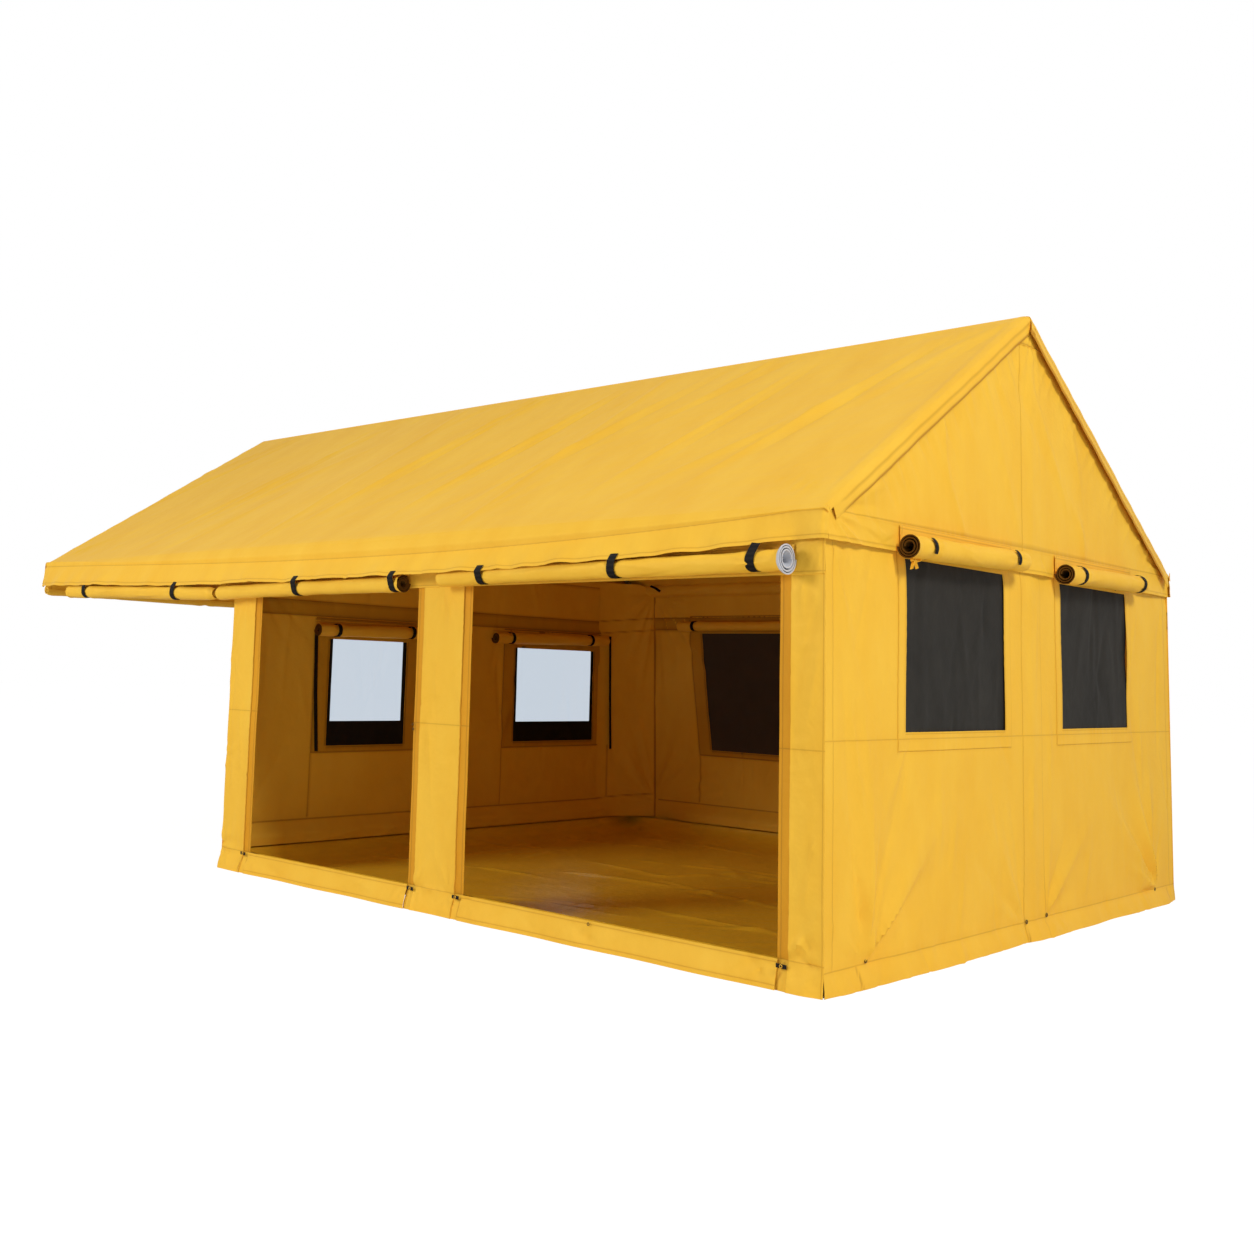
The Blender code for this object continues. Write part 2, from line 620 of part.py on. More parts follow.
def build_window_covers():
    """A rolled cover over each window: outside on the right wall, inside on the left and back walls."""
    for number, (centre, width, _, head) in enumerate(RIGHT_WINDOWS, 1):
        here = (HALF_LENGTH + GAP, centre, head + RIGHT_COVER_RISE)
        roll(f"window_cover_right_{number}", width + 2 * OUTER_COVER_SPARE, RIGHT_COVER_RADIUS, here, 90)
    for number, (centre, width, _, head) in enumerate(LEFT_WINDOWS, 1):
        here = (-HALF_LENGTH + CLOTH + GAP, -centre, head + INNER_COVER_RISE)
        roll(f"window_cover_left_{number}", width + 2 * INNER_COVER_SPARE, INNER_COVER_RADIUS, here, 90)
    for number, (centre, width, _, head) in enumerate(BACK_WINDOWS, 1):
        here = (-centre, HALF_DEPTH - CLOTH - GAP, head + INNER_COVER_RISE)
        roll(f"window_cover_back_{number}", width + 2 * INNER_COVER_SPARE, INNER_COVER_RADIUS, here)


def main():
    for obj in list(bpy.data.objects):
        bpy.data.objects.remove(obj)
    build_long_poles()
    build_ridge_joints()
    build_rafters()
    build_posts()
    build_gable_poles()
    build_porch_tie_beam()
    build_roof_cover()
    build_right_end()
    build_left_wall()
    build_porch_gable()
    build_back_wall()
    build_front()
    build_groundsheet()
    build_front_rolls()
    build_porch_end_roll()
    build_window_covers()


main()
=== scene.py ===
# %% [markdown]
# # A canvas frame tent
# The tent is cloth stretched over a frame of steel tube.

# %% The measured model
import math

import bpy
import numpy as np
from mathutils import Matrix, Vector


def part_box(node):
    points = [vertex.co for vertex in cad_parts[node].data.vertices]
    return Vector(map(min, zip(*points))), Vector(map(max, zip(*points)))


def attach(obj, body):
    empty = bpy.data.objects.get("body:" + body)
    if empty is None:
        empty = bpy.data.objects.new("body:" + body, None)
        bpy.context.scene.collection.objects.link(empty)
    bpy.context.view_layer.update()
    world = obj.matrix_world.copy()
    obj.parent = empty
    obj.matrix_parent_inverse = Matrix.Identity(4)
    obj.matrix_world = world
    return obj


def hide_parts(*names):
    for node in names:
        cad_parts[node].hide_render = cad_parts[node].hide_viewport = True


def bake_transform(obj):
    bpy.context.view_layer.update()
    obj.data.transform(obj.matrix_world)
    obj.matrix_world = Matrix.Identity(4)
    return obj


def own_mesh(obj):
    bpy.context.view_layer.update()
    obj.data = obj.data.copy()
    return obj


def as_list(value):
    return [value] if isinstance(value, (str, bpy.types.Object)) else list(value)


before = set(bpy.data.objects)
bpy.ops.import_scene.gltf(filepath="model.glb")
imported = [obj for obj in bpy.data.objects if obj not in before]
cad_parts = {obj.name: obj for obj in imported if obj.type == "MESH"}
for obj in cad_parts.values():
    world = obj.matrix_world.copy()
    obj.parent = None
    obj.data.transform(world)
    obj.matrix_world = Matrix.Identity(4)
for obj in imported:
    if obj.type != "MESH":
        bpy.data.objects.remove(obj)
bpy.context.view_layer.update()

# %% [markdown]
# ## The tent's own sizes
# Everything hangs on a few planes: the four walls, the eave and the ridge. They are read from the model,
# so the cloth lies where the measured sheets lie.

# %% Planes of the tent
LEFT_X, FRONT_Y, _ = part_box("front_wall")[0]
RIGHT_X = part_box("right_gable_panel")[1][0]
BACK_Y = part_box("back_wall")[1][1]
(PORCH_X, _, HEM_Z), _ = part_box("porch_gable_panel")
RIDGE_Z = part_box("roof_cover")[1][2]
ROOF_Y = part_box("roof_cover")[1][1]
EAVE_Z = 2.0
FALL = (RIDGE_Z - EAVE_Z) / ROOF_Y
SLOPE = math.hypot(ROOF_Y, RIDGE_Z - EAVE_Z)
FRAMES_X = np.array([2.16, -0.176, -2.16, -4.86])
CLOTH = 0.0022
print("walls", LEFT_X, RIGHT_X, FRONT_Y, BACK_Y, "porch end", PORCH_X, "hem", HEM_Z, "ridge", RIDGE_Z)

# %% [markdown]
# ## Colours and nodes
# Colours are given as sRGB hex values, but a shader mixes light, so one function makes them
# linear. A second one adds a node with its settings and its links.


# %% Helpers for materials
def colour(hex_value):
    """An sRGB hex colour as linear red, green, blue and alpha."""
    channels = np.array([int(hex_value[i : i + 2], 16) for i in (0, 2, 4)]) / 255
    low = channels / 12.92
    high = ((channels + 0.055) / 1.055) ** 2.4
    return (*np.where(channels <= 0.04045, low, high).tolist(), 1.0)


def add(tree, kind, inputs, **settings):
    """Adds a node, sets its properties, and links or sets each of its inputs."""
    node = tree.nodes.new(kind)
    for name, value in settings.items():
        setattr(node, name, value)
    for socket, value in inputs.items():
        if isinstance(value, bpy.types.NodeSocket):
            tree.links.new(value, node.inputs[socket])
        else:
            node.inputs[socket].default_value = value
    return node


def new_material(name):
    """(material, node tree, Principled shader) with nothing linked yet."""
    material = bpy.data.materials.new(name)
    material.use_nodes = True
    return material, material.node_tree, material.node_tree.nodes["Principled BSDF"]


# %% [markdown]
# ## Coated canvas
# The cloth is a dense polyester-cotton duck with a thin coating: matt, with a faint sheen where it bends,
# and slightly uneven in colour because the dye takes differently along the yarns. Its threads are about
# 0.5 mm apart, far too fine to show at this distance, so the slub is drawn at 9 mm. Rows of stitches are
# darker and a little sunk. The meshes carry them as an attribute, which also carries lines of painted shade
# and shadow: along the roof's rake hem, in slits and in the far corner.


# %% Canvas
def canvas_material(name, light, deep, stitch_and_shade_tone, roughness, gloss=0.16):
    """Coated duck: two close tones in long soft streaks, darker stitch rows and lines of painted shade, and
    slub as a bump.
    """
    material, tree, shader = new_material(name)
    uv = add(tree, "ShaderNodeTexCoord", {}).outputs["UV"]
    streak = add(tree, "ShaderNodeMapping", {"Vector": uv, "Scale": (3.5, 1.3, 1.0)}).outputs["Vector"]
    cloud = add(
        tree, "ShaderNodeTexNoise", {"Vector": streak, "Scale": 1.0, "Detail": 5.0, "Roughness": 0.6}
    )
    tone = add(
        tree, "ShaderNodeMapRange", {"Value": cloud.outputs["Fac"], "From Min": 0.3, "From Max": 0.7}
    ).outputs["Result"]
    dye = add(
        tree, "ShaderNodeMix", {"Factor": tone, "A": colour(deep), "B": colour(light)}, data_type="RGBA"
    )
    # The attribute marks stitch rows and lines of painted shade and shadow alike.
    stitch_and_shade = add(tree, "ShaderNodeAttribute", {}, attribute_name="stitch_and_shade").outputs["Fac"]
    share = add(tree, "ShaderNodeMath", {0: stitch_and_shade, 1: 0.45}, operation="MULTIPLY").outputs["Value"]
    sewn = add(
        tree,
        "ShaderNodeMix",
        {"Factor": share, "A": dye.outputs["Result"], "B": colour(stitch_and_shade_tone)},
        data_type="RGBA",
    )
    slub = add(tree, "ShaderNodeTexNoise", {"Vector": uv, "Scale": 110.0, "Detail": 2.0, "Roughness": 0.5})
    bump = add(
        tree, "ShaderNodeBump", {"Height": slub.outputs["Fac"], "Strength": 0.12, "Distance": 0.002}
    ).outputs["Normal"]
    ripple = add(tree, "ShaderNodeTexNoise", {"Vector": uv, "Scale": 7.0, "Detail": 3.0, "Roughness": 0.55})
    soft = add(
        tree,
        "ShaderNodeBump",
        {"Height": ripple.outputs["Fac"], "Strength": 0.5, "Distance": 0.014, "Normal": bump},
    ).outputs["Normal"]
    tree.links.new(sewn.outputs["Result"], shader.inputs["Base Color"])
    tree.links.new(soft, shader.inputs["Normal"])
    shader.inputs["Roughness"].default_value = roughness
    shader.inputs["Specular IOR Level"].default_value = gloss
    return material

# %% [markdown]
# ## Six cloths from one builder
# The duck, the doubled cloth round the windows, the duller strip beside the doorways, the floor's heavier
# coat, a roll's dark ends and its white inner side differ only in tone, roughness and gloss. The darker tones
# of the doubled cloth, the doorway strips and the roll's ends are painted shade.

# %% Cloth finishes
CANVAS = canvas_material("coated_canvas", "F8C440", "F3BA35", "B2720E", 0.58)
# Doubled cloth's darker tone is painted shade, as doubled cloth lets less light through; it shows inside
# only.
DOUBLED_SHADE = canvas_material("doubled_canvas_painted_shade", "D7A12C", "CC9624", "8A5A0E", 0.6)
# The doorway strips' darker, duller tone is painted shade of the set-back strips.
DOORWAY_STRIP_SHADE = canvas_material("canvas_doorway_strip_painted_shade", "E3A020", "D8941A", "8A5A12", 0.6)
FLOOR_CLOTH = canvas_material("coated_floor_cloth", "FFC832", "F2BA2A", "7A4E10", 0.32, 0.35)
# The dark brown of a roll's ends and inner turns is painted shade inside the roll.
ROLL_END_SHADE = canvas_material("canvas_roll_ends_painted_shade", "6E4812", "553810", "3A260A", 0.8)
WHITE_EDGE = canvas_material("white_coating", "CFD2D9", "BEC1C9", "9A9CA3", 0.5)

# %% [markdown]
# ## Webbing, netting, film and zinc
# The straps are woven polypropylene webbing, nearly black, ribbed every 2 mm or so, drawn at 4 mm. The
# netting is a fine knitted mesh, made as a part-clear sheet because its holes are under a millimetre.
# The tubes are galvanised: grey with cloudy spangle.


# %% Plain materials
def ribbed_material(name, light, dark, rib, roughness):
    """Webbing: ribs across its length, rib in metres, from the second UV axis."""
    material, tree, shader = new_material(name)
    uv = add(tree, "ShaderNodeTexCoord", {}).outputs["UV"]
    ribs = add(
        tree, "ShaderNodeTexWave", {
            "Vector": uv, "Scale": 1 / (rib * 20), "Distortion": 0.4
        }, bands_direction="Y"
    )
    mix = add(
        tree, "ShaderNodeMix", {
            "Factor": ribs.outputs["Fac"], "A": colour(dark), "B": colour(light)
        }, data_type="RGBA"
    )
    bump = add(tree, "ShaderNodeBump", {"Height": ribs.outputs["Fac"], "Strength": 0.5, "Distance": 0.0006})
    tree.links.new(mix.outputs["Result"], shader.inputs["Base Color"])
    tree.links.new(bump.outputs["Normal"], shader.inputs["Normal"])
    shader.inputs["Roughness"].default_value = roughness
    shader.inputs["Specular IOR Level"].default_value = 0.15
    return material

# %% [markdown]
# ## Netting
# Modelled threads would take millions of faces, so the sheet is part clear: its alpha is the share that
# thread fills. A cloudy tone and a low bump give the uneven look of netting in front of a dark room.


# %% Netting
def net_material(name, light, dark, cover):
    """Knitted netting: cover is the share of the sheet that thread fills."""
    material, tree, shader = new_material(name)
    uv = add(tree, "ShaderNodeTexCoord", {}).outputs["UV"]
    cloud = add(tree, "ShaderNodeTexNoise", {"Vector": uv, "Scale": 3.0, "Detail": 5.0, "Roughness": 0.65})
    mix = add(
        tree, "ShaderNodeMix", {
            "Factor": cloud.outputs["Fac"], "A": colour(dark), "B": colour(light)
        }, data_type="RGBA"
    )
    knit = add(tree, "ShaderNodeTexNoise", {"Vector": uv, "Scale": 12.0, "Detail": 6.0})
    bump = add(tree, "ShaderNodeBump", {"Height": knit.outputs["Fac"], "Strength": 0.5, "Distance": 0.01})
    tree.links.new(mix.outputs["Result"], shader.inputs["Base Color"])
    tree.links.new(bump.outputs["Normal"], shader.inputs["Normal"])
    shader.inputs["Roughness"].default_value = 0.75
    shader.inputs["Specular IOR Level"].default_value = 0.2
    shader.inputs["Alpha"].default_value = cover
    return material

# %% [markdown]
# ## Galvanised steel and brass
# Hot-dip zinc sets in cloudy spangle about 2 cm across. One noise drives tone and roughness together, so
# the lighter patches are the duller ones. The IOR stays as it is, as for any metal.


# %% Metal
def metal_material(name, dark, light):
    """Dull metal: two cloudy tones with a rough sheen."""
    material, tree, shader = new_material(name)
    place = add(tree, "ShaderNodeTexCoord", {}).outputs["Object"]
    spangle = add(tree, "ShaderNodeTexNoise", {"Vector": place, "Scale": 45.0, "Detail": 3.0})
    mix = add(
        tree,
        "ShaderNodeMix",
        {"Factor": spangle.outputs["Fac"], "A": colour(dark), "B": colour(light)},
        data_type="RGBA",
    )
    rough = add(
        tree, "ShaderNodeMapRange", {"Value": spangle.outputs["Fac"], "To Min": 0.35, "To Max": 0.55}
    ).outputs["Result"]
    tree.links.new(mix.outputs["Result"], shader.inputs["Base Color"])
    tree.links.new(rough, shader.inputs["Roughness"])
    shader.inputs["Metallic"].default_value = 0.9
    return material

# %% [markdown]
# ## Window film
# Full transmission with a little roughness blurs what lies behind, as frosted film does, and its bluish
# tint gives the daylight from the porch.


# %% Film and the finished list
def film_material(name, tint, roughness):
    """Frosted window film: daylight comes through it, a little blue and slightly blurred."""
    material, _, shader = new_material(name)
    shader.inputs["Base Color"].default_value = colour(tint)
    shader.inputs["Roughness"].default_value = roughness
    shader.inputs["Transmission Weight"].default_value = 1.0
    shader.inputs["IOR"].default_value = 1.3
    return material


WEBBING = ribbed_material("polypropylene_webbing", "1E1A17", "0C0A09", 0.004, 0.75)
DARK_NET = net_material("knitted_netting", "35322C", "161411", 0.95)
CLOSE_NET = net_material("doubled_netting", "4A3A28", "382A1C", 0.97)
FILM = film_material("frosted_film", "CBD5E0", 0.12)
BLACK_CLOTH = net_material("black_tape", "1C1612", "120E0B", 1.0)
ZINC = metal_material("galvanised_tube", "8E9296", "BFC3C6")
BRASS = metal_material("brass_ring", "B98B2C", "E2B64A")
OLD_METAL = metal_material("tarnished_eyelet", "4A3A1C", "7A6230")

# %% [markdown]
# ## Sheets from grids
# A sheet is a grid of points, computed as one array. The grid is fine where the cloth is sewn, so that a
# lap of 1 mm or a row of stitches is really there. The function below gives the sheet its thickness along
# its own normals and closes it round its edges and round its windows, so it is a thin solid, as cloth is.


# %% Grids and shells
CLOSE_LINES = np.array([-0.004, -0.0015, 0, 0.0015, 0.004])
CLOSEST = 0.003
SHARP_DEGREES = 38


def grid_lines(low, high, step, at=()):
    """Values from low to high, at most a step apart, with close ones on both sides of each place in
    `at`."""
    base = np.linspace(low, high, int(np.ceil((high - low) / step)) + 1)
    near = (np.array(at, float)[:, None] + CLOSE_LINES).ravel()
    near = near[(near >= low) & (near <= high)]
    far = np.abs(base[:, None] - near).min(axis=1, initial=np.inf) > CLOSEST
    far[[0, -1]] = True
    return np.unique(np.round(np.concatenate([base[far], near]), 5))

# %% [markdown]
# ## From arrays to a mesh
# foreach_set writes all points, corners and UVs at once, far faster than one face at a time. The UV is in
# metres on the flat cloth, so every pattern keeps its real scale.


# %% Arrays to a mesh
def put_in_mesh(name, points, faces, uv, stitch_and_shade, materials, kinds=None):
    """Writes arrays into a new mesh: points, quads, UV in metres at each point, the attribute of stitch
    rows and painted shade lines, materials."""
    used, inverse = np.unique(faces, return_inverse=True)
    faces = inverse.reshape(faces.shape)
    mesh = bpy.data.meshes.new(name)
    mesh.vertices.add(len(used))
    mesh.vertices.foreach_set("co", points[used].astype(np.float32).ravel())
    mesh.loops.add(faces.size)
    mesh.loops.foreach_set("vertex_index", faces.astype(np.int32).ravel())
    mesh.polygons.add(len(faces))
    mesh.polygons.foreach_set("loop_start", np.arange(0, faces.size, 4, dtype=np.int32))
    mesh.update(calc_edges=True)
    layer = mesh.uv_layers.new(name="cloth")
    layer.data.foreach_set("uv", uv[used][faces.ravel()].astype(np.float32).ravel())
    marks = mesh.attributes.new("stitch_and_shade", "FLOAT", "POINT")
    marks.data.foreach_set("value", stitch_and_shade[used].astype(np.float32))
    for material in materials:
        mesh.materials.append(material)
    if kinds is not None:
        mesh.polygons.foreach_set("material_index", kinds.astype(np.int32))
    mesh.shade_smooth()
    mesh.set_sharp_from_angle(angle=math.radians(SHARP_DEGREES))
    obj = bpy.data.objects.new(name, mesh)
    bpy.context.scene.collection.objects.link(obj)
    return obj

# %% [markdown]
# ## Thin solids
# A Solidify modifier could give the cloth its thickness. It is done on the grid instead, because the back
# then keeps its UV, and windows close by themselves: an edge with a quad on one side only gets a side.


# %% Shells
def shell(
    name, points, uv, material, keep=None, stitch_and_shade=None, thickness=CLOTH, flip=False,
    tape=None, second=None, sides_lined=(1, 1),
):
    """A closed thin solid from a grid of points (rows, columns, 3). Its back is the front moved along the
    normals. keep says which quads are there, tape which of them are of the second material, and
    sides_lined whether the front and the back show it."""
    rows, columns = points.shape[:2]
    across = np.gradient(points, axis=0)
    along = np.gradient(points, axis=1)
    normal = np.cross(across, along)
    normal /= np.maximum(np.linalg.norm(normal, axis=2, keepdims=True), 1e-12)
    if flip:
        normal = -normal
    count = rows * columns
    index = np.arange(count).reshape(rows, columns)
    quads = np.stack([index[:-1, :-1], index[1:, :-1], index[1:, 1:], index[:-1, 1:]], axis=-1)
    keep = np.ones((rows - 1, columns - 1), bool) if keep is None else keep
    quads = quads[keep]
    kinds = np.zeros(len(quads), int) if tape is None else tape[keep].astype(int)
    if flip:
        quads = quads[:, ::-1]
    start = quads.ravel()
    end = np.roll(quads, -1, axis=1).ravel()
    rim = ~np.isin(start * count + end, end * count + start)
    start, end = start[rim], end[rim]
    sides = np.stack([end, start, start + count, end + count], axis=1)
    faces = np.concatenate([quads, quads[:, ::-1] + count, sides])
    flat = points.reshape(-1, 3)
    both = np.concatenate([flat, flat - thickness * normal.reshape(-1, 3)])
    marks = np.zeros(count) if stitch_and_shade is None else np.broadcast_to(stitch_and_shade, (rows, columns)).ravel()
    twice = np.concatenate([marks, marks])
    uv = np.broadcast_to(uv, (rows, columns, 2)).reshape(-1, 2)
    kinds = np.concatenate([kinds * sides_lined[0], kinds * sides_lined[1], np.zeros(len(sides), int)])
    materials = [material] if tape is None else [material, second or DOORWAY_STRIP_SHADE]
    obj = put_in_mesh(name, both, faces, np.concatenate([uv, uv]), twice, materials, kinds)
    corners = flat[quads]
    diagonals = np.cross(corners[:, 2] - corners[:, 0], corners[:, 3] - corners[:, 1])
    obj["area"] = float(np.linalg.norm(diagonals, axis=1).sum() / 2)
    return obj


def declare(obj, flat, held, rests_on):
    """Takes away the area that its grid measured; nothing else is kept."""
    area = obj["area"]
    del obj["area"]
    min(area, flat[0] * flat[1])
    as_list(rests_on)


def hang(piece, node, flat, rests_on, held="hung", slot="canvas", body="tent"):
    if node:
        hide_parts(node)
    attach(piece, body)
    declare(piece, flat, held, rests_on)


# %% [markdown]
# ## Folds
# A crease in tight cloth is a soft ridge along a line. Its height is a bell curve across the line, and
# fades towards the line's ends. Creases come in two families: scattered ones that follow the pull of the
# cloth, and fans that spread from a point where it is held, such as an eyelet or a corner.


# %% Creases, laps and stitches
CREASE_DEPTH = 1.8
FAR = 9


def creases(u, v, lines):
    """The sum of soft ridges. A line is (u0, v0, u1, v1, width, height, fade): fade 0 is even, 1 dies to
    its end."""
    total = np.zeros(np.broadcast(u, v).shape)
    for u0, v0, u1, v1, width, height, fade in lines:
        du, dv = u1 - u0, v1 - v0
        length = math.hypot(du, dv)
        along = ((u - u0) * du + (v - v0) * dv) / length**2
        off = ((u - u0) * dv - (v - v0) * du) / length
        spread = width * (0.55 + 0.45 * np.clip(along, 0, 1) * (1 + fade))
        inside = np.clip(along, 0, 1)
        window = np.sin(np.pi * inside) if not fade else np.sin(np.pi * np.sqrt(inside)) * (1 - inside)
        total += CREASE_DEPTH * height * window * np.exp(-np.abs(off / spread) ** 1.5)
    return total


def scattered(rng, count, box, angle, spread, length, width, height):
    """Creases at random places in a box (u0, u1, v0, v1), leaning by an angle in degrees from the u
    axis."""
    u = rng.uniform(box[0], box[1], count)
    v = rng.uniform(box[2], box[3], count)
    lean = np.radians(angle + rng.normal(0, spread, count))
    half = rng.uniform(*length, count) / 2
    wide = rng.uniform(*width, count)
    high = rng.uniform(*height, count) * rng.choice([-1, 1], count)
    du, dv = half * np.cos(lean), half * np.sin(lean)
    return list(zip(u - du, v - dv, u + du, v + dv, wide, high, [0] * count))


def fan(rng, centre, low, high, count, length, width, height):
    """Creases that spread from a point between two angles in degrees, deep at the point and fading
    outwards."""
    turn = np.radians(np.linspace(low, high, count) + rng.normal(0, 3, count))
    reach = rng.uniform(*length, count)
    wide = rng.uniform(*width, count)
    tall = rng.uniform(*height, count) * np.where(np.arange(count) % 2, 1, -0.7)
    u0, v0 = centre
    u1, v1 = u0 + reach * np.cos(turn), v0 + reach * np.sin(turn)
    return list(zip([u0] * count, [v0] * count, u1, v1, wide, tall, [1] * count))


def fans(rng, rows):
    """Several fans in order; a row is (centre, low, high, count, length, width, height)."""
    return [line for row in rows for line in fan(rng, *row)]

# %% [markdown]
# ## Laps and stitches
# Where one cloth is sewn on another, the height steps up by a thickness. A row of stitches is a dark line
# that puckers the cloth beside it.


# %% Steps and stitch rows
def ramp(value, start, end):
    """0 before start and 1 after end, with a smooth rise between."""
    share = np.clip((value - start) / (end - start), 0, 1)
    return share * share * (3 - 2 * share)


def lap(value, low, high, edge=0.003):
    """1 between low and high and 0 outside, stepping over one edge width."""
    return np.clip((value - low) / edge + 0.5, 0, 1) * np.clip((high - value) / edge + 0.5, 0, 1)


def seams(u, v, rows, width=0.0028):
    """(stitch marks, puckering) of rows of stitches. A row is (axis, place, low, high), with FAR where it
    runs right across. A mark is a bell curve across the row, and the puckering is a wave along it that
    dies beside it."""
    marks = np.zeros(np.broadcast(u, v).shape)
    pucker = np.zeros_like(marks)
    for axis, at, low, high in rows:
        off, run = (u - at, v) if axis == "u" else (v - at, u)
        inside = lap(run, low, high, 0.01)
        marks = np.maximum(marks, inside * np.exp(-((off / width) ** 2)))
        wave = np.sin(run * 2 * np.pi / 0.047 + 2 * np.sin(run * 9)) * np.sin(run * 5.3)
        pucker += 0.0009 * inside * np.exp(-np.abs(off) / 0.018) * wave
    return marks, pucker


def places(rows, axis):
    """Where the grid needs close lines for these rows of stitches."""
    return [row[1] for row in rows if row[0] == axis]


def waves(u, v, rng, count, length, height):
    """A gentle unevenness: a few long sine waves in random directions."""
    total = np.zeros(np.broadcast(u, v).shape)
    for _ in range(count):
        turn = rng.uniform(0, np.pi)
        size = rng.uniform(*length)
        total += np.sin(
            (u * np.cos(turn) + v * np.sin(turn)) * 2 * np.pi / size + rng.uniform(0, 2 * np.pi)
        )
    return total * height / math.sqrt(count)


print("helpers ready")

# %% [markdown]
# ## The roof
# One sheet lies over the ridge and both eaves. It is cut slack, so its eave hangs in one long curve, and
# past the eave pole it falls steeply to a rounded edge. Below that edge a short strip leads to the
# stitched seam, and the valance hangs from the seam. At the ends the sheet rolls over the last rafter and
# hangs down as a hem. The section is a line through five knots that move with x. Hat-shaped weights,
# averaged over a small window, turn the line's corners into soft bends.

# %% The roof's section
PASS_Y = 1.985
RIDGE_SOFT = 0.02
BEND_SOFT = 0.008
SAG_FROM = 2.05
DEEPEST_SAG = 0.082


def eave_sag(x):
    """How far the eave hangs: one long curve over the whole length, deepest left of the middle."""
    share = np.clip((SAG_FROM - x) / (SAG_FROM - FRAMES_X[3]), 0, 1) ** 0.75
    return DEEPEST_SAG * np.sin(np.pi * share) ** 1.15


def hem_height(x):
    """Height of the valance's lower edge: it follows the sagging seam, and hangs lower at the porch."""
    return HEM_Z - eave_sag(x) - 0.028 * ramp(-x, 0.8, 3.2)


def hem_reach(x):
    """How far out the valance's lower edge is: it lies over the rolls where it hangs low."""
    over_rolls = 0.086 * np.sqrt(np.clip(eave_sag(x) / 0.075, 0, 1))
    return ROOF_Y + over_rolls + 0.034 * ramp(-x, 2.8, 4.2) * ramp(x, -4.88, -4.45)

# %% [markdown]
# ## Five knots
# Ridge, eave pole, the eave's edge, seam and hem each move with x. The sheet needs no more, because cloth
# between two of them is pulled nearly straight.


# %% Knots of the section
def roof_knots(x):
    """(y, z) of the ridge, the eave pole, the eave's edge, the seam and the hem, each an array over x."""
    sag, tip = eave_sag(x), ramp(-x, 3.4, 4.85)
    lift = 0.006 * np.clip(1.3 - x, 0, None) + 0.006
    ridge = (0 * x, RIDGE_Z + lift)
    over_pole = (PASS_Y - 0.005 * tip + 0 * x, RIDGE_Z - PASS_Y * FALL + 0.004 * tip)
    edge = (ROOF_Y - 0.002 - 0.028 * tip, EAVE_Z - 0.6 * sag + 0.034 * tip)
    seam = (ROOF_Y - 0.008 - 0.02 * tip, EAVE_Z - sag - 0.004)
    hem = (hem_reach(x), hem_height(x))
    return [ridge, over_pole, edge, seam, hem]


KNOT_LENGTHS = np.cumsum([0, math.hypot(PASS_Y, PASS_Y * FALL), 0.062, 0.034, 0.13])
REACH = KNOT_LENGTHS[-1]
SEAM_AT = KNOT_LENGTHS[3]


def knot_weights(length):
    """Each knot's share at a length from the ridge, averaged over a window so that the bends are soft."""
    window = np.where(length < 0.3, RIDGE_SOFT, BEND_SOFT)[:, None] * np.linspace(-1, 1, 15)[None, :]
    at = np.abs(length[:, None] + window)
    return np.stack([np.interp(at, KNOT_LENGTHS, row).mean(axis=1) for row in np.eye(5)], axis=1)

# %% [markdown]
# ## Wrinkles of the roof
# The slack sheet is pulled between ridge, eaves and frames, so long folds slant across each slope, and
# fans leave the frames' ends and the corners. Over a pole the cloth can't sink, so there the folds fade.


# %% Wrinkles of the roof
def pole_room(length):
    """1 away from the poles under the cloth and 0 over them, where a fold can't sink."""
    return ramp(KNOT_LENGTHS[1] - length, 0.03, 0.18) * ramp(length, 0.0, 0.08)


